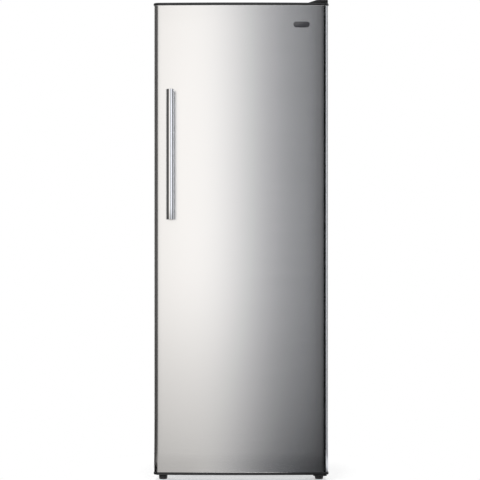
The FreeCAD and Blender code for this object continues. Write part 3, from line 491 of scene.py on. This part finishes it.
flange_low, flange_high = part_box("front_flange")
room_low, room_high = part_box("inner_liner")
flange_edge = round_frame(flange_low.x, flange_high.x, flange_low.z, flange_high.z, FLANGE_CORNER)
mouth = round_frame(room_low.x, room_high.x, room_low.z, room_high.z, LINER_CORNER + LINER_GAUGE)
flange_rings = [upright(flange_edge, flange_low.y), upright(mouth, flange_low.y),
                upright(mouth, flange_high.y), upright(flange_edge, flange_high.y)]
crisp(place(rings("front_flange_frame", flange_rings, looped=True), "cabinet", "cabinet_paint", cabinet_paint,
            "front_flange"))


# Back panel and base: zinc-coated steel sheet. The back closes the foam, and the base is folded up
# over the machine bay and forward under the floor of the cabinet.
def zinc_sheet():
    material, tree, shader = shaded("zinc_sheet", (0.52, 0.53, 0.54), 0.42, 0.9)
    coordinate = tree.nodes.new("ShaderNodeTexCoord")
    spangle = tree.nodes.new("ShaderNodeTexVoronoi")
    spangle.inputs["Scale"].default_value = 110
    spangle.inputs["Randomness"].default_value = 1.0
    wire(tree, (coordinate.outputs["Object"], spangle.inputs["Vector"]))
    grey = tree.nodes.new("ShaderNodeRGBToBW")
    wire(tree, (spangle.outputs["Color"], grey.inputs[0]))
    tinted(tree, shader, grey.outputs[0], (0.44, 0.45, 0.46), (0.58, 0.59, 0.60))
    wire(tree, (ranged(tree, grey.outputs[0], 0.34, 0.52), shader.inputs["Roughness"]))
    relief(tree, shader, grain(tree, (60, 60, 60), 4.0), 0.12, 0.0006)
    return material


zinc = zinc_sheet()
dress(zinc, "base_deck")
BACK_CORNER = 0.002
BEAD_CORNER = 0.05
BACK_BEAD = 0.0022
BEAD_STEPS = ((0.030, 0.0), (0.034, BACK_BEAD), (0.044, BACK_BEAD), (0.048, 0.0))
back_low, back_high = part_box("back_panel")
back_rings = [round_frame(back_low.x, back_high.x, back_low.z, back_high.z, BACK_CORNER)]
back_depths = [back_high.y]
for inset, rise in BEAD_STEPS:
    back_rings.append(round_frame(back_low.x + inset, back_high.x - inset, back_low.z + inset,
                                  back_high.z - inset, BEAD_CORNER - inset / 2))
    back_depths.append(back_high.y + rise)
back_mesh = rings("back_panel_sheet", [upright(ring, y) for ring, y in zip(back_rings, back_depths)],
                  capped=(False, True))
walled(place(back_mesh, "cabinet", "galvanised", zinc, "back_panel"), SHEET, -1.0)


# Insulation: foam poured between the outer sheets and the liner, pale yellow and finely pored.
# It is closed in on every side, and shows only inside the holes of the feet.
def poured_foam():
    material, tree, shader = shaded("poured_foam", (0.80, 0.70, 0.46), 0.9)
    pores = grain(tree, (900, 900, 900), 4.0)
    tinted(tree, shader, ranged(tree, pores, 0, 1), (0.72, 0.61, 0.37), (0.84, 0.75, 0.52))
    relief(tree, shader, pores, 0.6, 0.0008)
    return material


foam = poured_foam()
dress(foam, "insulation_foam", "door_foam")


# Inner liner: one white plastic sheet drawn over a mould, with soft corners all round. Its floor
# steps up over the machine bay.
def drawn_white():
    material, tree, shader = shaded("white_liner", (0.82, 0.83, 0.835), 0.28)
    shader.inputs["Subsurface Weight"].default_value = 0.06
    shader.inputs["Subsurface Radius"].default_value = (0.006, 0.006, 0.005)
    skin = grain(tree, (240, 240, 240), 4.0)
    tinted(tree, shader, ranged(tree, grain(tree, (6, 6, 6)), 0, 1), (0.80, 0.812, 0.818), (0.835, 0.845, 0.85))
    wire(tree, (ranged(tree, skin, 0.24, 0.34), shader.inputs["Roughness"]))
    relief(tree, shader, skin, 0.08, 0.0005)
    return material


STEP_GAP = 0.010
STEP_DROP = 0.014
white_liner = drawn_white()
inside_low = room_low + Vector((LINER_GAUGE, 0, LINER_GAUGE))
inside_high = room_high - Vector((LINER_GAUGE, LINER_GAUGE, LINER_GAUGE))
step_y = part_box("lower_drawer")[1].y + STEP_GAP
step_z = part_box("upper_drawer")[0].z - STEP_DROP
room_side = [(inside_low.y, inside_low.z), (step_y, inside_low.z), (step_y, step_z), (inside_high.y, step_z),
             (inside_high.y, inside_high.z), (inside_low.y, inside_high.z)]
room = bmesh.new()
room_ends = [[room.verts.new((x, y, z)) for y, z in room_side] for x in (inside_low.x, inside_high.x)]
room.faces.new(room_ends[0])
room.faces.new(room_ends[1][::-1])
for index in range(len(room_side)):
    after = (index + 1) % len(room_side)
    room.faces.new((room_ends[0][index], room_ends[0][after], room_ends[1][after], room_ends[1][index]))
soft_edges = [edge for edge in room.edges if any(vert.co.y > inside_low.y + 0.001 for vert in edge.verts)]
bmesh.ops.bevel(room, geom=soft_edges, offset=LINER_CORNER, segments=6, profile=0.5, affect="EDGES")
bmesh.ops.delete(room, geom=[face for face in room.faces
                             if all(vert.co.y < inside_low.y + 0.0001 for vert in face.verts)], context="FACES")
liner_room = place(finish("inner_liner_sheet", room), "cabinet", "white_liner", white_liner, "inner_liner")
for face in liner_room.data.polygons:
    face.use_smooth = True
walled(liner_room, LINER_GAUGE, 1.0)


# Drawer ledges: white plastic rails on the liner's side walls, which carry the drawers by their rims.
def softened(node, slot, material, width, segments=3):
    """A piece in the form of a CAD node, with its hard edges rounded, that stands for the node."""
    shape = bmesh.new()
    shape.from_mesh(frame["nodes"][node].data)
    bmesh.ops.remove_doubles(shape, verts=shape.verts, dist=0.00001)
    bmesh.ops.dissolve_limit(shape, angle_limit=math.radians(1), verts=shape.verts, edges=shape.edges)
    piece = place(finish(node + "_form", shape), frame["nodes"][node]["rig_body"], slot, material, node)
    edge = piece.modifiers.new("edges", "BEVEL")
    edge.width = width
    edge.segments = segments
    edge.limit_method = "ANGLE"
    edge.angle_limit = math.radians(32)
    edge.harden_normals = True
    return piece


def satin_white():
    material, tree, shader = shaded("white_plastic", (0.80, 0.80, 0.795), 0.42)
    fleck = grain(tree, (1500, 1500, 1500), 2.0)
    haze = ranged(tree, grain(tree, (30, 30, 30)), 0, 1)
    tinted(tree, shader, haze, (0.785, 0.787, 0.78), (0.82, 0.82, 0.815))
    wire(tree, (ranged(tree, fleck, 0.36, 0.48), shader.inputs["Roughness"]))
    relief(tree, shader, fleck, 0.12, 0.0001)
    return material


white_plastic = satin_white()
softened("drawer_runners", "white_liner", white_liner, 0.0015)


# Drawers: two moulded tubs of frosted plastic, each with a rim that runs on the ledges and a hand
# hole through its front. The lower one is shorter, because the machine bay is behind it.
def frosted_white():
    material, tree, shader = shaded("frosted_white", (0.86, 0.885, 0.90), 0.34)
    shader.inputs["Transmission Weight"].default_value = 0.35
    shader.inputs["IOR"].default_value = 1.49
    cloud = grain(tree, (90, 90, 90), 4.0)
    tinted(tree, shader, ranged(tree, cloud, 0, 1), (0.83, 0.86, 0.88), (0.88, 0.90, 0.91))
    wire(tree, (ranged(tree, grain(tree, (1400, 1400, 1400), 2.0), 0.28, 0.42), shader.inputs["Roughness"]))
    relief(tree, shader, cloud, 0.08, 0.0006)
    return material


frosted = frosted_white()
softened("lower_drawer", "clear_bin", frosted, 0.0011)
softened("upper_drawer", "clear_bin", frosted, 0.0011)


# Cold shelves: each is one bent evaporator tube with straight wires welded across it, coated white.
# White clips hold the shelves to the walls, and two risers carry the cold from shelf to shelf.
def coated_white():
    material, tree, shader = shaded("white_coated_tube", (0.80, 0.81, 0.815), 0.32)
    shader.inputs["Coat Weight"].default_value = 0.3
    shader.inputs["Coat Roughness"].default_value = 0.15
    flow = grain(tree, (160, 160, 160), 4.0)
    tinted(tree, shader, ranged(tree, flow, 0, 1), (0.77, 0.78, 0.785), (0.83, 0.84, 0.845))
    relief(tree, shader, flow, 0.2, 0.0005)
    return material


enamel = coated_white()
dress(enamel, "evaporator_risers", *["evaporator_shelf_%d" % number for number in (1, 2, 3, 4)])
softened("shelf_clips", "white_plastic", white_plastic, 0.0012)


# Control housing: a white moulded box on the ceiling holds the thermostat and the lamp. A knob
# turns on the thermostat's shaft, and a clear frosted lens closes the window under the lamp.
softened("control_housing", "white_plastic", white_plastic, 0.0009)
softened("thermostat_knob", "white_plastic", white_plastic, 0.0006)
dress(white_plastic, "thermostat_body")


def frosted_glass():
    material, tree, shader = shaded("lamp_glass", (0.93, 0.91, 0.85), 0.3)
    shader.inputs["Transmission Weight"].default_value = 0.8
    shader.inputs["IOR"].default_value = 1.5
    frost = grain(tree, (700, 700, 700), 3.0)
    tinted(tree, shader, ranged(tree, frost, 0, 1), (0.90, 0.88, 0.80), (0.96, 0.945, 0.89))
    wire(tree, (ranged(tree, frost, 0.2, 0.42), shader.inputs["Roughness"]))
    relief(tree, shader, frost, 0.15, 0.0002)
    return material


lamp_glass = frosted_glass()
dress(lamp_glass, "lamp")
softened("lamp_lens", "lamp_glass", lamp_glass, 0.0006)


# Door skin: one sheet of brushed stainless steel, gently bowed across, its long edges rolled
# round to the back and its ends folded in under the plastic caps.
SKIN_BOW = 0.009
SKIN_EDGE_RADIUS = 0.017
SKIN_END_FOLD = 0.0026
SKIN_FOLD_TURNS = (0, 30, 50, 70, 90)
SKIN_STEPS = 24
skin_low, skin_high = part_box("door_skin")


def door_outline(grow=0.0, corner_steps=14, bow_steps=72):
    """Points of the door's section, from back left round the bowed front to back right."""
    half, back = skin_high.x, skin_high.y
    corner_x = half - SKIN_EDGE_RADIUS
    edge_y = skin_low.y + SKIN_BOW
    corner_y = edge_y + SKIN_EDGE_RADIUS
    reach = (corner_x ** 2 + SKIN_BOW ** 2) / (2 * SKIN_BOW)
    bow_y = skin_low.y + reach + SKIN_EDGE_RADIUS
    touch = math.atan2(reach - SKIN_BOW, corner_x)
    corner = SKIN_EDGE_RADIUS + grow
    left = [(-half - grow, back), (-half - grow, (back + corner_y) / 2)]
    for step in range(corner_steps + 1):
        angle = touch * step / corner_steps
        left.append((-corner_x - corner * math.cos(angle), corner_y - corner * math.sin(angle)))
    limit = math.pi / 2 - touch
    front = []
    for step in range(1, bow_steps):
        angle = limit * (2 * step / bow_steps - 1)
        radius = reach + corner
        front.append((radius * math.sin(angle), bow_y - radius * math.cos(angle)))
    return left + front + [(-x, y) for x, y in reversed(left)]


def brushed_stainless():
    material, tree, shader = shaded("brushed_stainless", (0.68, 0.68, 0.675), 0.2, 1.0)
    shader.inputs["Anisotropic"].default_value = 0.3
    strokes = grain(tree, (4, 4, 2600), 3.0)
    tinted(tree, shader, ranged(tree, strokes, 0, 1), (0.665, 0.665, 0.66), (0.705, 0.705, 0.70))
    wire(tree, (ranged(tree, strokes, 0.19, 0.24), shader.inputs["Roughness"]))
    relief(tree, shader, strokes, 0.03, 0.00002)
    return material


stainless = brushed_stainless()
skin_turns = [math.radians(turn) for turn in SKIN_FOLD_TURNS]
skin_ends = [(SKIN_END_FOLD * (1 - math.cos(turn)), SKIN_END_FOLD * (1 - math.sin(turn)))
             for turn in skin_turns]
skin_span = skin_high.z - skin_low.z
skin_rows = [(skin_low.z + up, fade) for up, fade in skin_ends]
skin_rows += [(skin_low.z + skin_span * step / SKIN_STEPS, 0.0) for step in range(1, SKIN_STEPS)]
skin_rows += [(skin_high.z - up, fade) for up, fade in reversed(skin_ends)]
door_skin = place(
    ribbon("door_skin_sheet", [[(x, y, z) for x, y in door_outline(-fade)] for z, fade in skin_rows]),
    "door", "stainless", stainless, "door_skin")
walled(door_skin, SHEET, 1.0)


# Door caps: black moulded strips that close the ends of the door. Each stands a little proud of
# the skin all round, with a soft outer edge and a fine groove where it meets the sheet.
CAP_LIP = 0.0025
CAP_EDGE = 0.0035
CAP_GROOVE = 0.0012
CAP_STEPS = 6


def moulded_black():
    material, tree, shader = shaded("black_plastic", (0.012, 0.012, 0.013), 0.38)
    speckle = grain(tree, (2600, 2600, 2600), 2.0)
    wire(tree, (ranged(tree, speckle, 0.33, 0.46), shader.inputs["Roughness"]))
    haze = ranged(tree, grain(tree, (14, 14, 14)), 0, 1)
    tinted(tree, shader, haze, (0.010, 0.010, 0.011), (0.017, 0.017, 0.018))
    relief(tree, shader, speckle, 0.2, 0.00012)
    return material


def cap_rows(inner, outer):
    """Rings of a cap from the skin's end to the door's end."""
    way = 1 if outer > inner else -1
    height = abs(outer - inner)
    steps = [(CAP_LIP - CAP_GROOVE, 0.0), (CAP_LIP, CAP_GROOVE)]
    for step in range(CAP_STEPS + 1):
        angle = math.pi / 2 * step / CAP_STEPS
        steps.append((CAP_LIP - CAP_EDGE * (1 - math.cos(angle)), height - CAP_EDGE * (1 - math.sin(angle))))
    return [[(x, y, inner + way * rise) for x, y in door_outline(grow)] for grow, rise in steps]


black_plastic = moulded_black()
for name, node, inner, outer in (
        ("door_cap_upper", "door_cap_top", skin_high.z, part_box("door_cap_top")[1].z),
        ("door_cap_lower", "door_cap_bottom", skin_low.z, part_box("door_cap_bottom")[0].z)):
    cap = rings(name, cap_rows(inner, outer), capped=(True, True))
    crisp(place(cap, "door", "black_plastic", black_plastic, node))


# Door liner: a white plastic sheet drawn over a mould. It lies flat under the gasket, rises a
# little lower down, and makes a deep ring round the recess that holds the bins.
PAN_RISE = 0.008
RING_RISE = 0.040
RING_WIDTH = 0.034
RIM_GAP = 0.008
BIN_GAP = 0.0003
BIN_FLOOR_GAP = 0.006
PLATE_CORNER = 0.004
PAN_CORNER = 0.020
RECESS_CORNER = 0.012
LINING_GAUGE = 0.0014
door_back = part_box("door_gasket")[0].y
plate_low, plate_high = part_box("door_liner")
bin_low, bin_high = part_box("door_bin_1")
pan_half = inside_high.x - RIM_GAP
recess_half = bin_high.x + BIN_GAP
recess_low = bin_low.z - BIN_FLOOR_GAP
ring_low = recess_low - RING_WIDTH
ring_top = inside_high.z - RIM_GAP


def pressed(low_x, high_x, low_z, high_z, radius, steps):
    """Rings for one raised field of a moulded sheet, each step (inset, depth)."""
    return [upright(round_frame(low_x + inset, high_x - inset, low_z + inset, high_z - inset,
                                radius - inset / 2), door_back + depth) for inset, depth in steps]


door_liner_rings = pressed(plate_low.x, plate_high.x, plate_low.z, plate_high.z, PLATE_CORNER,
                           ((0, -0.0015), (0, 0)))
door_liner_rings += pressed(-pan_half, pan_half, inside_low.z + RIM_GAP, ring_top, PAN_CORNER, (
    (-0.004, 0), (-0.0015, 0.0008), (0, 0.003), (0.0008, 0.0055), (0.0025, 0.0073), (0.005, PAN_RISE)))
door_liner_rings += pressed(-pan_half, pan_half, ring_low, ring_top, PAN_CORNER, (
    (0.0055, PAN_RISE), (0.0065, PAN_RISE + 0.002), (0.008, RING_RISE - 0.006), (0.0095, RING_RISE - 0.0022),
    (0.012, RING_RISE - 0.0005), (0.015, RING_RISE)))
door_liner_rings += pressed(-recess_half, recess_half, recess_low, ring_top - RING_WIDTH, RECESS_CORNER, (
    (-0.005, RING_RISE), (-0.002, RING_RISE - 0.0006), (-0.0005, RING_RISE - 0.0022), (0, RING_RISE - 0.005),
    (0.0005, 0.006), (0.0015, 0.0022), (0.004, 0.0005), (0.008, 0)))
door_lining = place(rings("door_liner_sheet", door_liner_rings, capped=(False, True)), "door", "white_liner",
                    white_liner, "door_liner")
walled(door_lining, LINING_GAUGE, -1.0)


# Door gasket: a soft grey profile with a bellows and a magnet in its flat face, pressed into the
# liner's edge all round the door, with welded corners.
GASKET_WIDTH = 0.014
GASKET_CORNER = 0.016
GASKET_PROFILE = ((0, 0), (0, 0.0012), (0.0024, 0.0022), (0.0012, 0.0034), (0.0010, 0.0050), (0.0022, 0.0061),
                  (0.0010, 0.0072), (0.0008, 0.0088), (0.0018, 0.0097))


def soft_grey():
    material, tree, shader = shaded("gasket_grey", (0.30, 0.30, 0.31), 0.55)
    shader.inputs["Sheen Weight"].default_value = 0.15
    bloom = grain(tree, (120, 120, 120), 4.0)
    tinted(tree, shader, ranged(tree, bloom, 0, 1), (0.27, 0.27, 0.28), (0.34, 0.34, 0.35))
    wire(tree, (ranged(tree, bloom, 0.48, 0.62), shader.inputs["Roughness"]))
    relief(tree, shader, grain(tree, (900, 900, 900), 2.0), 0.15, 0.0001)
    return material


gasket_grey = soft_grey()
gasket_low, gasket_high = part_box("door_gasket")
half_profile = list(GASKET_PROFILE)
gasket_section = half_profile + [(GASKET_WIDTH - inset, depth) for inset, depth in reversed(half_profile)]
gasket_rings = [upright(round_frame(gasket_low.x + inset, gasket_high.x - inset, gasket_low.z + inset,
                                    gasket_high.z - inset, GASKET_CORNER - inset), gasket_low.y + depth)
                for inset, depth in gasket_section]
crisp(place(rings("door_gasket_profile", gasket_rings, looped=True), "door", "gasket_grey", gasket_grey,
            "door_gasket"), 60)


# Door bins: four clear moulded trays that drop into the recess of the door liner. Each has a
# thicker rim round its top.
def clear_moulding():
    material, tree, shader = shaded("clear_bin", (0.95, 0.97, 0.975), 0.12)
    shader.inputs["Transmission Weight"].default_value = 0.86
    shader.inputs["IOR"].default_value = 1.49
    flow = grain(tree, (40, 40, 40), 4.0)
    tinted(tree, shader, ranged(tree, flow, 0, 1), (0.93, 0.955, 0.965), (0.97, 0.98, 0.985))
    wire(tree, (ranged(tree, flow, 0.09, 0.18), shader.inputs["Roughness"]))
    relief(tree, shader, flow, 0.06, 0.0006)
    return material


clear_bin = clear_moulding()
for number in (1, 2, 3, 4):
    softened("door_bin_%d" % number, "clear_bin", clear_bin, 0.0009)


# Handle: a round bar of polished stainless tube with flat closed ends, on two short posts. A screw
# through the door's skin holds each post, and two plugs close the same holes on the hinge side.
TURNS = {"X": Matrix.Rotation(math.pi / 2, 4, "Y"), "Y": Matrix.Rotation(-math.pi / 2, 4, "X"),
         "-Y": Matrix.Rotation(math.pi / 2, 4, "X"), "Z": Matrix.Identity(4)}


def turned(name, profile, seat, axis="Z", steps=48, hollow=False):
    """A round form from its profile of (radius, height), set on a point along an axis."""
    turns = [2 * math.pi * step / steps for step in range(steps)]
    rows = [[(radius * math.cos(turn), radius * math.sin(turn), height) for turn in turns]
            for radius, height in profile]
    mesh = rings(name, rows, capped=(not hollow, not hollow), looped=hollow)
    mesh.transform(Matrix.Translation(seat) @ TURNS[axis])
    return mesh


def polished_tube():
    material, tree, shader = shaded("polished_tube", (0.74, 0.74, 0.74), 0.12, 1.0)
    polish = grain(tree, (900, 900, 12), 3.0)
    tinted(tree, shader, ranged(tree, polish, 0, 1), (0.72, 0.72, 0.72), (0.76, 0.76, 0.76))
    wire(tree, (ranged(tree, polish, 0.09, 0.15), shader.inputs["Roughness"]))
    relief(tree, shader, polish, 0.03, 0.00002)
    return material


BAR_STEPS = 8
polished = polished_tube()
bar_low, bar_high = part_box("handle_bar")
bar_radius = (bar_high.x - bar_low.x) / 2
bar_length = bar_high.z - bar_low.z
bar_end = ((bar_radius - 0.0014, 0), (bar_radius - 0.0004, 0.0004), (bar_radius, 0.0014))
bar_profile = list(bar_end) + [(bar_radius, bar_length * step / BAR_STEPS) for step in range(1, BAR_STEPS)]
bar_profile += [(radius, bar_length - height) for radius, height in reversed(bar_end)]
bar_seat = ((bar_low.x + bar_high.x) / 2, (bar_low.y + bar_high.y) / 2, bar_low.z)
crisp(place(turned("handle_tube", bar_profile, bar_seat, steps=64), "door", "polished_tube", polished,
            "handle_bar"), 60)
softened("handle_posts", "polished_tube", polished, 0.0003)


def zinc_plated():
    material, tree, shader = shaded("zinc_plated", (0.58, 0.57, 0.53), 0.34, 1.0)
    bloom = grain(tree, (300, 300, 300), 4.0)
    tinted(tree, shader, ranged(tree, bloom, 0, 1), (0.52, 0.515, 0.49), (0.64, 0.63, 0.585))
    wire(tree, (ranged(tree, bloom, 0.26, 0.44), shader.inputs["Roughness"]))
    relief(tree, shader, bloom, 0.1, 0.0002)
    return material


hardware = zinc_plated()
dress(hardware, "handle_screws", "cabinet_screws", "roller_axles")
plug_low, plug_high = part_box("handle_plugs")
plug_radius = (plug_high.x - plug_low.x) / 2
plug_profile = ((plug_radius, 0), (plug_radius, 0.0016), (plug_radius * 0.92, 0.0019),
                (plug_radius * 0.75, 0.0022), (plug_radius * 0.5, 0.0024), (plug_radius * 0.15, 0.0025))
for name, height in (("handle_plug_lower", plug_low.z + plug_radius),
                     ("handle_plug_upper", plug_high.z - plug_radius)):
    seat = ((plug_low.x + plug_high.x) / 2, plug_high.y, height)
    crisp(place(turned(name, plug_profile, seat, "-Y", 32), "door", "polished_tube", polished, "handle_plugs"))


# Badge: a small blank plate with round ends, glossy black, glued to the door near its top corner.
def glossy_black():
    material, tree, shader = shaded("badge_black", (0.035, 0.035, 0.04), 0.16)
    shader.inputs["Coat Weight"].default_value = 0.4
    haze = grain(tree, (500, 500, 500), 3.0)
    tinted(tree, shader, ranged(tree, haze, 0, 1), (0.03, 0.03, 0.034), (0.042, 0.042, 0.048))
    wire(tree, (ranged(tree, haze, 0.13, 0.22), shader.inputs["Roughness"]))
    return material


softened("blank_badge", "badge_black", glossy_black(), 0.0004)


# Hinges: a zinc-plated steel plate on the top and a black one under the base, each with a welded
# pin that turns in a bush in the door. A sloped black cover hides the upper one and the reed switch.
def black_enamel():
    material, tree, shader = shaded("black_enamel", (0.018, 0.018, 0.018), 0.3)
    shader.inputs["Coat Weight"].default_value = 0.5
    shader.inputs["Coat Roughness"].default_value = 0.12
    flow = grain(tree, (180, 180, 180), 4.0)
    tinted(tree, shader, ranged(tree, flow, 0, 1), (0.014, 0.014, 0.014), (0.024, 0.024, 0.024))
    wire(tree, (ranged(tree, flow, 0.24, 0.38), shader.inputs["Roughness"]))
    relief(tree, shader, flow, 0.12, 0.0004)
    return material


enamelled = black_enamel()
softened("top_hinge_bracket", "zinc_steel", hardware, 0.0004)
softened("bottom_hinge_bracket", "black_steel", enamelled, 0.0004)
dress(white_plastic, "door_bushings")
dress(black_plastic, "reed_switch")

COVER_SLOPE = 0.032
COVER_WALL = 0.0009
COVER_EDGE = 0.0028
cover_low, cover_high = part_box("top_hinge_cover")
cover_side = [(cover_low.x, cover_low.z), (cover_high.x, cover_low.z), (cover_high.x, cover_high.z),
              (cover_low.x + COVER_SLOPE, cover_high.z)]
cover = bmesh.new()
cover_ends = [[cover.verts.new((x, y, z)) for x, z in cover_side] for y in (cover_low.y, cover_high.y)]
cover.faces.new(cover_ends[0])
cover.faces.new(cover_ends[1][::-1])
for index in range(len(cover_side)):
    after = (index + 1) % len(cover_side)
    cover.faces.new((cover_ends[0][index], cover_ends[1][index], cover_ends[1][after], cover_ends[0][after]))
raised_edges = [edge for edge in cover.edges if any(vert.co.z > cover_low.z + 0.001 for vert in edge.verts)]
bmesh.ops.bevel(cover, geom=raised_edges, offset=COVER_EDGE, segments=5, profile=0.5, affect="EDGES")
bmesh.ops.delete(cover, geom=[face for face in cover.faces
                              if all(vert.co.z < cover_low.z + 0.0001 for vert in face.verts)], context="FACES")
walled(place(finish("top_hinge_cover_shell", cover), "cabinet", "black_plastic", black_plastic,
             "top_hinge_cover"), COVER_WALL, -1.0)


# Machine bay, open at the back: a steel tray carries the compressor on four rubber grommets. Its
# black can is two drawn halves welded round the middle, with the relay under a cover on its side.
def matt_rubber():
    material, tree, shader = shaded("black_rubber", (0.022, 0.022, 0.022), 0.78)
    dust = grain(tree, (260, 260, 260), 4.0)
    tinted(tree, shader, ranged(tree, dust, 0, 1), (0.016, 0.016, 0.016), (0.034, 0.033, 0.032))
    relief(tree, shader, grain(tree, (1800, 1800, 1800), 2.0), 0.3, 0.0002)
    return material


CAN_SEAM_DROP = 0.075
rubber = matt_rubber()
softened("compressor_tray", "galvanised", zinc, 0.0004)
dress(rubber, "compressor_grommets", "cord_gland")
dress(hardware, "compressor_bolts")
dress(enamelled, "compressor")
can_low, can_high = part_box("compressor")
can_radius = (can_high.y - can_low.y) / 2
can_seat = ((can_low.x + can_high.x) / 2, (can_low.y + can_high.y) / 2, can_high.z - CAN_SEAM_DROP)
seam = ((can_radius - 0.002, -0.004), (can_radius + 0.0012, -0.003), (can_radius + 0.0022, -0.001),
        (can_radius + 0.0022, 0.001), (can_radius + 0.0012, 0.003), (can_radius - 0.002, 0.004))
place(turned("compressor_weld", seam, can_seat, hollow=True), "cabinet", "black_steel", enamelled)
softened("relay_cover", "black_plastic", black_plastic, 0.003)


# Pipes: drawn copper for the suction and discharge lines, the drier and the capillary, and black
# painted steel for the condenser. A plastic tube drains the meltwater through the floor.
def drawn_copper():
    material, tree, shader = shaded("drawn_copper", (0.72, 0.40, 0.25), 0.26, 1.0)
    tarnish = grain(tree, (70, 70, 70), 5.0)
    tinted(tree, shader, ranged(tree, tarnish, 0, 1), (0.50, 0.26, 0.17), (0.80, 0.46, 0.30))
    wire(tree, (ranged(tree, tarnish, 0.2, 0.42), shader.inputs["Roughness"]))
    relief(tree, shader, tarnish, 0.08, 0.0002)
    return material


copper = drawn_copper()
dress(copper, "suction_tube", "discharge_tube", "filter_drier", "capillary_tube")
dress(enamelled, "condenser_coil")
dress(white_plastic, "drain_tube")
softened("condenser_brackets", "black_plastic", black_plastic, 0.0005)


# Feet and rollers: two black screw feet level the front, and the back rolls on two small wheels,
# each on a fixed pin in a steel bracket.
softened("front_foot_right", "black_plastic", black_plastic, 0.0005)
softened("front_foot_left", "black_plastic", black_plastic, 0.0005)
softened("roller_brackets", "galvanised", zinc, 0.0003)
softened("rear_roller_right", "black_plastic", black_plastic, 0.0005)
softened("rear_roller_left", "black_plastic", black_plastic, 0.0005)
